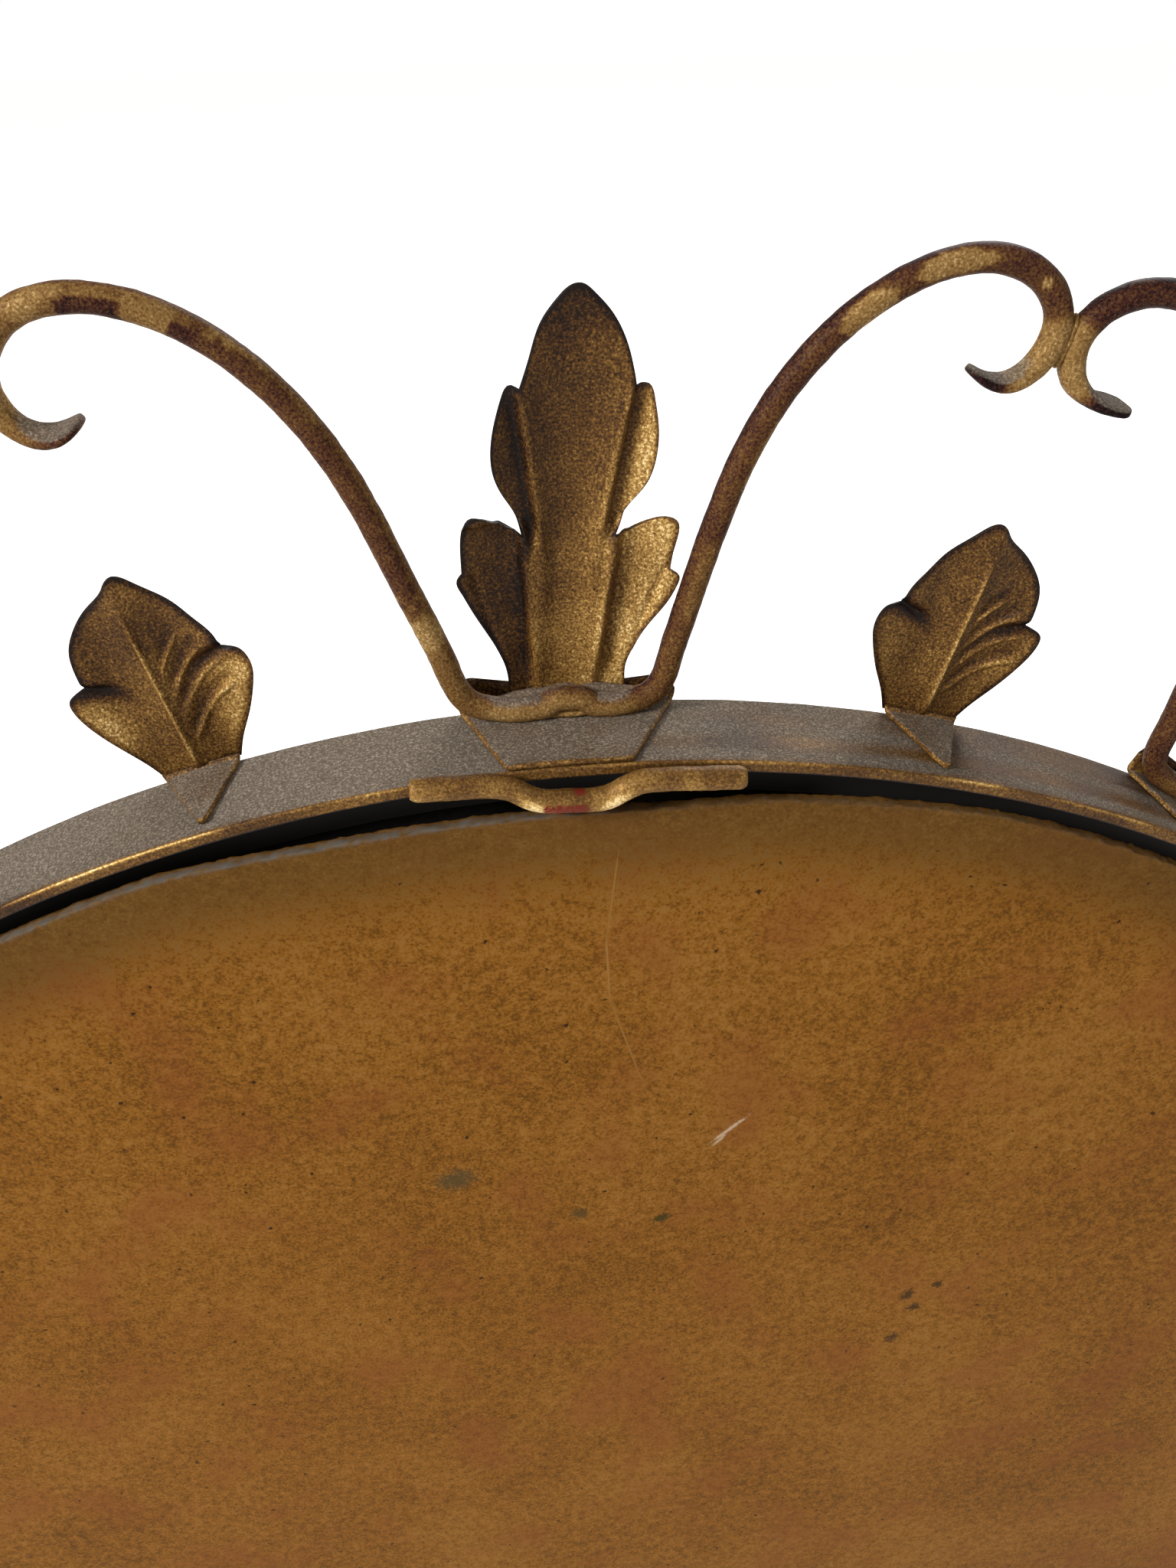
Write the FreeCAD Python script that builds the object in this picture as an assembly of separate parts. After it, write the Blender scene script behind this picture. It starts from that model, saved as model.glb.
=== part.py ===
import FreeCAD, Part
import math
import os

V = FreeCAD.Vector

# A round wall mirror in a hoop of gilt flat iron, with twelve scrolls and twenty-four stamped leaves.
# Sizes are millimetres and degrees. The hoop stands upright with its axis along Y and its front at -Y.
# Three words place everything: "across" runs to the right as seen from behind, "up" starts at the
# hoop's axis, and "back" starts at the hoop's front edge and grows towards the wall.

# Hoop, the flat-iron band that carries everything
hoop_radius = 315.5
hoop_thickness = 3.0
hoop_depth = 25.0
units = 12
seat_gap = 0.2
overrun = 5.0
flat_within = 0.000001

# Flat ring brazed inside the hoop, which stops the glass
stop_setback = 7.0
stop_thickness = 3.0
stop_width = 6.0

# Glass, packing card and hardboard behind it
glass_thickness = 4.0
glass_play = 0.8
card_play = 12.0
board_thickness = 3.2
board_inset = 0.5
board_play = 3.5
board_top_gap = 9.6
board_top_radius = 383.0

# Sheet clips bent over the hardboard
clip_sheet = 0.8
clip_width = 12.0
clip_reach = 14.0
clip_angles = [45.0, 135.0, 225.0, 315.0]

# Hanger rod across the back edge of the hoop
hanger_diameter = 6.0
hanger_length = 70.0
hanger_drop = 2.0
hanger_lean = 2.6
hanger_dip = 4.3
hanger_dip_flat = 13.0
hanger_dip_slope = 8.0
hanger_dip_across = -1.5
hanger_bend_radius = 9.0
hanger_sides = 8

# Scroll, one bent rod per unit with both ends curled and flattened
rod_diameter = 5.2
rod_sides = 6
scroll_height = 97.5
scroll_back = 6.0
scroll_axis = -0.43
scroll_foot_half = 16.5
scroll_foot_runs = 4
scroll_joint_height = 84.8
scroll_joint_length = 6.0
scroll_bend_step = 36.0
scroll_deviation = 1.0
ribbon_thickness = 2.3
ribbon_width = 8.0
ribbon_length = 22.0
ribbon_spread_length = 18.0
ribbon_tip_width = 4.6

# Places of an arm's centre line. The first number is a share of the angle between the scroll's own
# axis and its joint with the next scroll, the second a share of the scroll's height above its foot.
arm_rise_shares = [
    (0.262, 0.085), (0.286, 0.147), (0.345, 0.393), (0.378, 0.516), (0.419, 0.639), (0.48, 0.762),
    (0.575, 0.885), (0.649, 0.948), (0.8, 1.0), (0.9, 0.972)]
arm_curl_shares = [(0.945, 0.798), (0.867, 0.775), (0.803, 0.797)]

# Tall leaf, stamped sheet with a tab bent back over the hoop
leaf_sheet = 1.2
tall_leaf_height = 90.0
tall_leaf_half_width = 24.0
tall_leaf_relief = 2.4
tall_leaf_lean = 3.2
tall_tab_back_half = 13.3
tab_depth = 24.4
tab_facets = 3

# The tall leaf's outline from the flange up, its right side with the tip and then its left side. Each
# place is a share of the half width and a share of the height.
tall_right_shares = [
    (1.0, 0.0), (0.8, 0.053), (0.5, 0.034), (0.62, 0.17), (0.94, 0.31), (0.842, 0.342),
    (0.885, 0.43), (0.78, 0.47), (0.36, 0.45), (0.665, 0.65), (0.565, 0.778), (0.463, 0.776),
    (0.36, 0.875), (0.2, 0.94), (-0.046, 0.99)]
tall_left_shares = [
    (1.0, 0.0), (0.946, 0.087), (0.56, 0.058), (0.64, 0.18), (0.965, 0.34), (0.921, 0.366),
    (0.942, 0.44), (0.854, 0.496), (0.442, 0.457), (0.704, 0.64), (0.57, 0.785), (0.467, 0.779),
    (0.396, 0.85), (0.22, 0.95)]
# Fold lines of the tall leaf at five heights. Each row has its height as a share of the leaf's, then
# for the middle, ridge, lobe hollow and rim a share of the half width and of the relief.
tall_fold_shares = [
    (0.0, [(0.0, 0.0), (0.24, 0.0), (0.38, 0.0), (1.1, 0.0)]),
    (0.06, [(0.0, -0.15), (0.25, 0.3), (0.39, -0.35), (1.1, 0.0)]),
    (0.46, [(0.0, -0.5), (0.385, 0.5), (0.6, -0.5), (1.1, 1.0)]),
    (0.79, [(0.0, -0.45), (0.445, 0.75), (0.52, -0.4), (1.1, 1.2)]),
    (1.03, [(0.0, 0.2), (0.3, 0.35), (0.45, 0.3), (1.1, 0.3)])]

# Small leaf between two tall ones
small_leaf_height = 48.5
small_leaf_half_width = 20.0
small_leaf_relief = 2.4
small_leaf_lean = 1.5
small_tab_half = 9.0
small_tab_depth = 21.7
small_tab_facets = 2
small_side_shares = [
    (0.45, 0.0), (0.54, 0.1), (0.85, 0.33), (0.99, 0.47), (0.76, 0.55), (0.765, 0.63), (0.66, 0.74),
    (0.4, 0.885), (0.1, 0.98)]
small_tip_share = (0.0, 1.0)
small_fold_shares = [
    (0.0, [(0.0, 0.0), (0.2, 0.0), (0.4, 0.0), (1.1, 0.0)]),
    (0.55, [(0.0, 0.6), (0.22, -0.3), (0.76, 0.35), (1.1, 0.2)]),
    (1.05, [(0.0, 0.15), (0.15, 0.0), (0.4, 0.3), (1.1, 0.6)])]

# Worked out from the sizes above
hoop_inner = hoop_radius - hoop_thickness
glass_back = stop_setback + stop_thickness + glass_thickness
board_back = hoop_depth - board_inset
board_front = board_back - board_thickness
board_radius = hoop_inner - board_play
board_drop = board_play - seat_gap
tab_inner = hoop_radius + seat_gap
tab_outer = tab_inner + leaf_sheet
rod_radius = rod_diameter / 2
foot_radius = tab_outer + seat_gap + rod_radius
hanger_radius = hanger_diameter / 2
hanger_height = hoop_radius - hanger_drop
hanger_back = hoop_depth + seat_gap + hanger_radius
wall_back = hanger_back + hanger_radius
eye_up = hanger_height - hanger_dip - hanger_radius
unit_angle = 360.0 / units
foot_angle = math.degrees(scroll_foot_half / foot_radius)


def place(across, up, back):
    return V(-across, back, up)


def polar(radius, angle, back=0.0):
    """Point at a radius from the hoop's axis, turned by an angle to the right seen from behind."""
    turn = math.radians(angle)
    return place(radius * math.sin(turn), radius * math.cos(turn), back)


def turned(shape, angle):
    copy = shape.copy()
    copy.rotate(V(0, 0, 0), V(0, -1, 0), angle)
    return copy


def closed_face(points):
    return Part.Face(Part.makePolygon(points + [points[0]]))


def disc(radius, front, back, drop=0.0):
    return Part.makeCylinder(radius, back - front, place(0, -drop, front), V(0, 1, 0))


def solid_of(faces):
    return Part.makeSolid(Part.makeShell(faces))


# Hoop, glass and backing
def hoop_band():
    return disc(hoop_radius, 0, hoop_depth).cut(disc(hoop_inner, -overrun, hoop_depth + overrun))


def stop_ring():
    front = stop_setback
    back = stop_setback + stop_thickness
    bore = disc(hoop_inner - stop_width, front - overrun, back + overrun)
    return disc(hoop_inner, front, back).cut(bore)


def mirror_glass():
    return disc(hoop_inner - glass_play, glass_back - glass_thickness, glass_back)


def packing_card():
    return disc(hoop_inner - card_play, glass_back, board_front)


def back_board():
    """Hand-cut hardboard disc that sits low in the hoop, its top trimmed to a flatter arc."""
    top = hoop_inner - board_top_gap
    board = disc(board_radius, board_front, board_back, board_drop)
    trim = disc(board_top_radius, board_front - overrun, board_back + overrun, board_top_radius - top)
    return board.common(trim)


def back_clip(angle):
    """Strip brazed to the hoop's inner face and bent over the back of the hardboard."""
    outer = hoop_inner - seat_gap
    start = glass_back + seat_gap
    bend = board_back + seat_gap
    profile = [place(0, outer, start), place(0, outer, bend + clip_sheet),
               place(0, outer - clip_reach, bend + clip_sheet), place(0, outer - clip_reach, bend),
               place(0, outer - clip_sheet, bend), place(0, outer - clip_sheet, start)]
    strip = closed_face(profile).extrude(V(clip_width, 0, 0))
    strip.translate(V(-clip_width / 2, 0, 0))
    return turned(strip, angle)


# Rods, drawn as flat-sided lengths that meet in mitres
def rod_section(before, here, after, width, thickness, sides):
    """Section square to the bend between two lengths of a rod that lies in one plane."""
    way_in = (here - before).normalize() if before else (after - here).normalize()
    way_out = (after - here).normalize() if after else way_in
    along = (way_in + way_out).normalize()
    side = along.cross(V(0, 1, 0)).normalize()
    mitre = 1 / math.cos(way_in.getAngle(way_out) / 2)
    turns = [2 * math.pi * (step + 1 / 2) / sides for step in range(sides)]
    widest = max(math.cos(turn) for turn in turns)
    deepest = max(math.sin(turn) for turn in turns)
    return [here + side * (mitre * math.cos(turn) / widest * thickness / 2)
            + V(0, math.sin(turn) / deepest * width / 2, 0) for turn in turns]


def patch(first, second, third, fourth):
    """One flat face through four corners, or two where they don't lie flat."""
    bow = (second - first).cross(third - first).normalize().dot(fourth - first)
    if abs(bow) < flat_within:
        return [closed_face([first, second, third, fourth])]
    return [closed_face([first, second, third]), closed_face([first, third, fourth])]


def rod(stations, widths, thicknesses, sides):
    sections = []
    for index, here in enumerate(stations):
        before = stations[index - 1] if index else None
        after = stations[index + 1] if index + 1 < len(stations) else None
        sections.append(rod_section(before, here, after, widths[index], thicknesses[index], sides))
    faces = [closed_face(sections[0]), closed_face(sections[-1])]
    for near, far in zip(sections, sections[1:]):
        for step in range(sides):
            following = (step + 1) % sides
            faces += patch(near[step], near[following], far[following], far[step])
    return solid_of(faces)


# Hanger
def rounded_path(points, radius):
    """Places along a line with each corner rounded off, three to a corner."""
    path = [points[0]]
    for before, corner, after in zip(points, points[1:], points[2:]):
        way_in = (corner - before).normalize()
        way_out = (after - corner).normalize()
        half = way_in.getAngle(way_out) / 2
        cut = radius * math.tan(half)
        inward = (way_out - way_in).normalize()
        path.append(corner - way_in * cut)
        path.append(corner + inward * (radius / math.cos(half) - radius))
        path.append(corner + way_out * cut)
    return path + [points[-1]]


def hanger_rod():
    """Round rod across the hoop's back edge, dipped in the middle to clear the hook that it hangs on."""
    flat = hanger_dip_flat / 2
    slope = flat + hanger_dip_slope
    middle = hanger_dip_across
    offsets = [(-hanger_length / 2, 0), (middle - slope, 0), (middle - flat, -hanger_dip),
               (middle + flat, -hanger_dip), (middle + slope, 0), (hanger_length / 2, 0)]
    points = [place(across, hanger_height + rise, hanger_back) for across, rise in offsets]
    path = rounded_path(points, hanger_bend_radius)
    bar = rod(path, [hanger_diameter] * len(path), [hanger_diameter] * len(path), hanger_sides)
    bar.rotate(place(0, hanger_height, hanger_back), V(0, -1, 0), hanger_lean)
    return bar


# Scrolls
def arm_places(shares):
    return [polar(foot_radius + lift * scroll_height, share * unit_angle / 2, scroll_back)
            for share, lift in shares]


def arm_stations():
    """The right arm from the end of the foot, over the crown, down the joint and round to the tip."""
    joint_radius = foot_radius + scroll_joint_height
    joint = unit_angle / 2 - math.degrees(math.asin((rod_radius + seat_gap / 2) / joint_radius))
    joint_top = polar(joint_radius + scroll_joint_length / 2, joint, scroll_back)
    joint_foot = polar(joint_radius - scroll_joint_length / 2, joint, scroll_back)
    foot_end = polar(foot_radius, foot_angle, scroll_back)
    curve = Part.BSplineCurve()
    curve.interpolate([polar(foot_radius, 0, scroll_back), foot_end] + arm_places(arm_rise_shares)
                      + [joint_top, joint_foot] + arm_places(arm_curl_shares))
    stations = []
    bend_step = math.radians(scroll_bend_step)
    for start, end in ((foot_end, joint_top), (joint_foot, curve.EndPoint)):
        stretch = curve.toShape(curve.parameter(start), curve.parameter(end))
        stations += stretch.discretize(Angular=bend_step, Curvature=scroll_deviation)
    return stations


def scroll_stations():
    arm = arm_stations()
    foot = [polar(foot_radius, foot_angle * (2 * step / scroll_foot_runs - 1), scroll_back)
            for step in range(1, scroll_foot_runs)]
    return [V(-point.x, point.y, point.z) for point in reversed(arm)] + foot + arm


def scroll():
    """Bent rod whose two ends are hammered out into a ribbon that narrows again at the tip."""
    stations = scroll_stations()
    lengths = [0.0]
    for before, here in zip(stations, stations[1:]):
        lengths.append(lengths[-1] + before.distanceToPoint(here))
    widths = []
    thicknesses = []
    for length in lengths:
        to_end = min(length, lengths[-1] - length)
        drawn = max(0.0, 1 - to_end / ribbon_length)
        spread = math.sin(math.pi / 2 * min(1.0, drawn * ribbon_length / ribbon_spread_length))
        widths.append(rod_diameter + (ribbon_width - rod_diameter) * spread)
        thicknesses.append(rod_diameter + (ribbon_thickness - rod_diameter) * math.sqrt(drawn))
    widths[0] = ribbon_tip_width
    widths[-1] = ribbon_tip_width
    return rod(stations, widths, thicknesses, rod_sides)


# Leaves
def leaf_point(across, rise, back, lean):
    """Point of a leaf, whose height leans to one side as it was bent."""
    return place(across + rise * math.tan(math.radians(lean)), tab_outer + rise, back)


def fold_rows(fold_shares, half_width, height, relief, lean, back):
    rows = []
    for rise_share, folds in fold_shares:
        left = [(-share, depth) for share, depth in reversed(folds[1:])]
        row = [leaf_point(share * half_width, rise_share * height, back + depth * relief, lean)
               for share, depth in left + folds]
        rows.append(row)
    base = [V(point.x, point.y, 0) for point in rows[0]]
    return [base] + rows


def folded_sheet(front_rows, back_rows):
    """Sheet between two folded skins, each made of flat triangles between neighbouring fold lines."""
    faces = []
    for rows, flip in ((front_rows, False), (back_rows, True)):
        for low, high in zip(rows, rows[1:]):
            for column in range(len(low) - 1):
                inner = column + 1 if column < len(low) // 2 else column
                outer = column if column < len(low) // 2 else column + 1
                faces.append(closed_face([low[outer], low[inner], high[inner]]))
                faces.append(closed_face([low[outer], high[inner], high[outer]]))
    for rows_pair in zip(front_rows, back_rows, front_rows[1:], back_rows[1:]):
        low_front, low_back, high_front, high_back = rows_pair
        for end in (0, -1):
            faces.append(closed_face([low_front[end], low_back[end], high_back[end], high_front[end]]))
    for end in (0, -1):
        front, back = front_rows[end], back_rows[end]
        for column in range(len(front) - 1):
            faces.append(closed_face([front[column], front[column + 1], back[column + 1]]))
            faces.append(closed_face([front[column], back[column + 1], back[column]]))
    return solid_of(faces)


def tab_arc(radius, half_width, facets):
    """Corners of a faceted arc just clear of the radius, from left to right."""
    half_angle = math.degrees(half_width / hoop_radius)
    step = 2 * half_angle / facets
    corner = radius / math.cos(math.radians(step / 2))
    return [polar(corner, -half_angle + step * index) for index in range(facets + 1)]


def outline_side(shares, half_width, height, lean, back):
    return [leaf_point(share * half_width, rise * height, back, lean) for share, rise in shares]


def blade(right_shares, left_shares, fold_shares, half_width, height, relief, lean, foot):
    """Leaf blade: the folded sheet cut to the leaf's outline and down to the tab below it."""
    deep = relief + leaf_sheet + overrun
    right = outline_side(right_shares, half_width, height, lean, -deep)
    left = outline_side(left_shares, -half_width, height, lean, -deep)
    bottom = [V(point.x, -deep, point.z) for point in foot]
    cutter = closed_face(bottom + right[1:] + left[:0:-1]).extrude(V(0, 2 * deep, 0))
    front = fold_rows(fold_shares, half_width, height, relief, lean, 0)
    back = fold_rows(fold_shares, half_width, height, relief, lean, leaf_sheet)
    return folded_sheet(front, back).common(cutter)


def tab(front_half, back_half, depth, facets):
    """Tab bent back over the hoop, tapering from its fold to its far edge."""
    inner = tab_arc(tab_inner, front_half, facets)
    outer = tab_arc(tab_outer, front_half, facets)
    strip = closed_face(inner + outer[::-1]).extrude(V(0, depth, 0))
    low = hoop_radius - overrun
    plan = [place(-front_half, low, 0), place(front_half, low, 0),
            place(back_half, low, depth), place(-back_half, low, depth)]
    if back_half == 0:
        plan = plan[:3]
    taper = closed_face(plan).extrude(V(0, 0, overrun * 2))
    return strip.common(taper)


def tall_leaf():
    foot = tab_arc(tab_inner, tall_leaf_half_width, tab_facets)
    body = blade(tall_right_shares, tall_left_shares, tall_fold_shares, tall_leaf_half_width,
                 tall_leaf_height, tall_leaf_relief, tall_leaf_lean, foot)
    flap = tab(tall_leaf_half_width, tall_tab_back_half, tab_depth, tab_facets)
    return body.fuse(flap).removeSplitter()


def small_leaf():
    foot = tab_arc(tab_inner, small_tab_half, small_tab_facets)
    body = blade(small_side_shares + [small_tip_share], small_side_shares, small_fold_shares,
                 small_leaf_half_width, small_leaf_height, small_leaf_relief, small_leaf_lean, foot)
    flap = tab(small_tab_half, 0, small_tab_depth, small_tab_facets)
    return body.fuse(flap).removeSplitter()


def save(name, shape):
    """Write the piece from an origin at the wall, under the dip of the hanger where its hook bears."""
    shape.translate(V(0, -wall_back, -eye_up))
    shape.exportStep("parts/" + name + ".step")
    print(name, "solids", len(shape.Solids), "valid", shape.isValid(), "volume", round(shape.Volume, 1))


def main():
    os.makedirs("parts", exist_ok=True)
    save("hoop_band", hoop_band())
    save("stop_ring", stop_ring())
    save("mirror_glass", mirror_glass())
    save("packing_card", packing_card())
    save("back_board", back_board())
    save("hanger_rod", hanger_rod())
    for index, angle in enumerate(clip_angles):
        save("back_clip_%d" % (index + 1), back_clip(angle))
    one_scroll = scroll()
    one_tall_leaf = tall_leaf()
    one_small_leaf = small_leaf()
    for index in range(units):
        angle = index * unit_angle
        save("scroll_%02d" % (index + 1), turned(one_scroll, angle + scroll_axis))
        save("tall_leaf_%02d" % (index + 1), turned(one_tall_leaf, angle))
        save("small_leaf_%02d" % (index + 1), turned(one_small_leaf, angle + unit_angle / 2))


main()
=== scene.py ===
import bpy
import numpy as np
from mathutils import Matrix, Vector


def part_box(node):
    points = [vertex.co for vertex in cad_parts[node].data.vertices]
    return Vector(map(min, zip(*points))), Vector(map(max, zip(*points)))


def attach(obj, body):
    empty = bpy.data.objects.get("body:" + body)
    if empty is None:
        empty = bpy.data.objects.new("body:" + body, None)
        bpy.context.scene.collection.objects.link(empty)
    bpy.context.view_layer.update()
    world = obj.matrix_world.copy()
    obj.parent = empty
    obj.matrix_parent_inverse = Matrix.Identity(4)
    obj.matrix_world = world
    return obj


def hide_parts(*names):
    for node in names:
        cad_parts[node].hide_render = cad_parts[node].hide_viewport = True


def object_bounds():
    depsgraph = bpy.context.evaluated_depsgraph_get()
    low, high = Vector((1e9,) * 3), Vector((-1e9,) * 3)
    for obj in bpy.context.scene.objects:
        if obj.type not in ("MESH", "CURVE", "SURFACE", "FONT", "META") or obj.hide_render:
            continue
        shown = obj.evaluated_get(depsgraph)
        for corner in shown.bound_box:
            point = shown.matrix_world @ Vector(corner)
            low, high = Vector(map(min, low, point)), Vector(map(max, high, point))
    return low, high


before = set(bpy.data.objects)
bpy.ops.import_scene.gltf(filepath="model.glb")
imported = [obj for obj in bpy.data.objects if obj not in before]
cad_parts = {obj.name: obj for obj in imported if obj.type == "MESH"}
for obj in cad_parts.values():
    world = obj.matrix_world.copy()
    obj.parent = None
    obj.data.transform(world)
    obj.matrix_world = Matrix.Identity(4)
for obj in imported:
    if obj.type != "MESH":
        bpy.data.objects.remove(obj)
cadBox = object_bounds()
print("frame loaded")

# Everything is worked out in millimetres about the hoop's axis, in three words: across runs to the right
# as seen from behind, up starts at the axis, and back starts at the hoop's front edge and runs to the wall.
mm = 0.001
units = 12
unitTurn = 360 / units
hoopLow, hoopHigh = (np.array(corner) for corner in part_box("hoop_band"))
hoopCentre = (hoopLow + hoopHigh) / 2
hoopFront = hoopLow[1]
hoopDepth = (hoopHigh[1] - hoopLow[1]) / mm
hoopOuter = (hoopHigh[2] - hoopLow[2]) / 2 / mm


def toFrame(points):
    # from across, up and back in millimetres to the frame's metres
    x = hoopCentre[0] - points[..., 0] * mm
    y = hoopFront + points[..., 2] * mm
    z = hoopCentre[2] + points[..., 1] * mm
    return np.stack([x, y, z], -1)


def turned(points, degrees):
    # turn about the hoop's axis, to the right as seen from behind
    angle = np.radians(degrees)
    across = points[..., 0] * np.cos(angle) + points[..., 1] * np.sin(angle)
    up = points[..., 1] * np.cos(angle) - points[..., 0] * np.sin(angle)
    return np.stack([across, up, points[..., 2]], -1)


def polar(radius, degrees, back):
    # a point at this radius, turned so far to the right of straight up, and this far back
    angle = np.radians(degrees)
    return np.stack(np.broadcast_arrays(radius * np.sin(angle), radius * np.cos(angle), back), -1)


def ease(low, high, value):
    # 0 below low, 1 above high, and the smooth step 3t^2 - 2t^3 between
    t = np.clip((value - low) / (high - low), 0, 1)
    return t * t * (3 - 2 * t)


def hump(distance, width):
    # bell curve of height 1: e to the minus square of the distance over the width
    return np.exp(-(distance / width) ** 2)


def ripple(points, wavelength, seed, waves=9):
    # sum of sine waves in random directions, divided by their number: a soft unevenness around zero
    random = np.random.default_rng(seed)
    ways = random.normal(size=(waves, 3))
    ways /= np.linalg.norm(ways, axis=1, keepdims=True)
    ways *= 2 * np.pi / (wavelength * random.uniform(0.7, 1.5, (waves, 1)))
    return np.sin(points @ ways.T + random.uniform(0, 2 * np.pi, waves)).mean(-1) * 1.8


def walked(line):
    # distance along the line to each of its points: the running sum of its steps
    return np.concatenate([[0], np.cumsum(np.linalg.norm(np.diff(line, axis=0), axis=1))])


def splineThrough(points, step):
    # natural cubic spline through the points over their chord length, then even steps along its length
    points = np.asarray(points, float)
    knots = walked(points)
    gaps = np.diff(knots)
    count = len(points)
    matrix = np.eye(count)
    right = np.zeros_like(points)
    inner = np.arange(1, count - 1)
    matrix[inner, inner - 1] = gaps[:-1]
    matrix[inner, inner] = 2 * (gaps[:-1] + gaps[1:])
    matrix[inner, inner + 1] = gaps[1:]
    slopeWearAndHighlight = np.diff(points, axis=0) / gaps[:, None]
    right[1:-1] = 6 * np.diff(slopeWearAndHighlight, axis=0)
    bends = np.linalg.solve(matrix, right)
    fine = np.linspace(0, knots[-1], int(knots[-1] / step * 4) + 2)
    span = np.clip(np.searchsorted(knots, fine, side="right") - 1, 0, count - 2)
    gap = gaps[span][:, None]
    after = (fine - knots[span])[:, None]
    before = gap - after
    line = (bends[span] * before ** 3 + bends[span + 1] * after ** 3) / (6 * gap)
    line += (points[span] / gap - bends[span] * gap / 6) * before
    line += (points[span + 1] / gap - bends[span + 1] * gap / 6) * after
    lengths = walked(line)
    even = np.linspace(0, lengths[-1], int(lengths[-1] / step) + 2)
    return np.stack([np.interp(even, lengths, line[:, axis]) for axis in range(line.shape[1])], -1)


def gridFaces(rows, columns, alongClosed, first):
    # quads between neighbouring rows and columns, the columns closed on themselves, and a fan at open ends
    index = np.arange(rows * columns).reshape(rows, columns) + first
    index = np.hstack([index, index[:, :1]])
    if alongClosed:
        index = np.vstack([index, index[:1]])
    quads = np.stack([index[:-1, :-1], index[:-1, 1:], index[1:, 1:], index[1:, :-1]], -1).reshape(-1, 4)
    if alongClosed:
        return quads, np.zeros((0, 3), int)
    start = np.full(columns, first + rows * columns)
    startFan = np.stack([start, index[0, 1:], index[0, :-1]], -1)
    endFan = np.stack([start + 1, index[-1, :-1], index[-1, 1:]], -1)
    return quads, np.vstack([startFan, endFan])


def makePiece(name, surfaces, material, replaced=None):
    # Each surface is a grid of points, closed across its columns. Its rows run from one closed end to the
    # other, or close on themselves. Its layers are values for the paint, one for each point.
    points, quads, triangles = [], [], []
    layerNames = sorted({key for surface in surfaces for key in surface.get("layers", {})})
    layers = {key: [] for key in layerNames}
    first = 0
    for surface in surfaces:
        grid = surface["grid"]
        rows, columns = grid.shape[:2]
        alongClosed = surface.get("alongClosed", False)
        newQuads, newTriangles = gridFaces(rows, columns, alongClosed, first)
        cloud = grid.reshape(-1, 3)
        if not alongClosed:
            cloud = np.vstack([cloud, grid[0].mean(0), grid[-1].mean(0)])
        # turned round where the volume that the quads enclose comes out negative
        centred = cloud - cloud.mean(0)
        a, b, c, d = (centred[newQuads[:, side] - first] for side in range(4))
        volume = np.einsum("ij,ij->", np.cross(c - a, d - b), a + b + c + d)
        if volume < 0:
            newQuads, newTriangles = newQuads[:, ::-1], newTriangles[:, ::-1]
        points.append(cloud)
        quads.append(newQuads)
        triangles.append(newTriangles)
        for key in layerNames:
            value = np.broadcast_to(surface.get("layers", {}).get(key, 0.0), (rows, columns))
            flat = value.reshape(-1)
            if not alongClosed:
                flat = np.concatenate([flat, [value[0].mean(), value[-1].mean()]])
            layers[key].append(flat)
        first += len(cloud)
    points = toFrame(np.vstack(points))
    quads = np.vstack(quads)
    triangles = np.vstack(triangles)
    mesh = bpy.data.meshes.new(name)
    mesh.vertices.add(len(points))
    mesh.vertices.foreach_set("co", points.ravel())
    corners = np.concatenate([quads.ravel(), triangles.ravel()])
    mesh.loops.add(len(corners))
    mesh.loops.foreach_set("vertex_index", corners.astype(np.int32))
    mesh.polygons.add(len(quads) + len(triangles))
    starts = np.concatenate([np.arange(len(quads)) * 4, quads.size + np.arange(len(triangles)) * 3])
    mesh.polygons.foreach_set("loop_start", starts.astype(np.int32))
    mesh.polygons.foreach_set("use_smooth", np.ones(len(starts), bool))
    mesh.update(calc_edges=True)
    mesh.validate()
    for key, values in layers.items():
        mesh.attributes.new(key, "FLOAT", "POINT").data.foreach_set("value", np.concatenate(values))
    piece = bpy.data.objects.new(name, mesh)
    bpy.context.collection.objects.link(piece)
    mesh.materials.append(material)
    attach(piece, "root")
    if replaced:
        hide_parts(replaced)


# Materials
def colour(code):
    # sRGB hex to the linear colour that Blender's sockets take
    values = [int(code[place:place + 2], 16) / 255 for place in (1, 3, 5)]
    linear = [value / 12.92 if value <= 0.04045 else ((value + 0.055) / 1.055) ** 2.4 for value in values]
    return linear + [1.0]


def addNode(tree, kind, settings=None, stops=None):
    # One shader node with its properties and inputs set. A node as a value is linked by its first output, and
    # a pair of a node and an output by that one. A ramp also gets its stops. A Mix node takes its two colours
    # at inputs 6 and 7, and gives the mixed one at output 2.
    node = tree.nodes.new("ShaderNode" + kind)
    for key, value in (settings or {}).items():
        source, output = value if isinstance(value, tuple) and len(value) == 2 else (value, 0)
        if isinstance(source, bpy.types.Node):
            tree.links.new(source.outputs[output], node.inputs[key])
        elif isinstance(key, str) and hasattr(node, key):
            setattr(node, key, value)
        else:
            node.inputs[key].default_value = value
    if stops:
        ramp = node.color_ramp
        while len(ramp.elements) < len(stops):
            ramp.elements.new(1.0)
        for element, (place, code) in zip(ramp.elements, stops):
            element.position = place
            element.color = colour(code)
    return node


def newMaterial(name):
    # a material with an empty node tree
    material = bpy.data.materials.new(name)
    material.use_nodes = True
    material.node_tree.nodes.clear()
    return material, material.node_tree


def finishMaterial(tree, shader):
    addNode(tree, "OutputMaterial", {"Surface": shader})


def perMillimetre(size):
    # scale of a noise texture on Object coordinates, whose patches are about this many millimetres wide
    return 1 / (size * mm)


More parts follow.
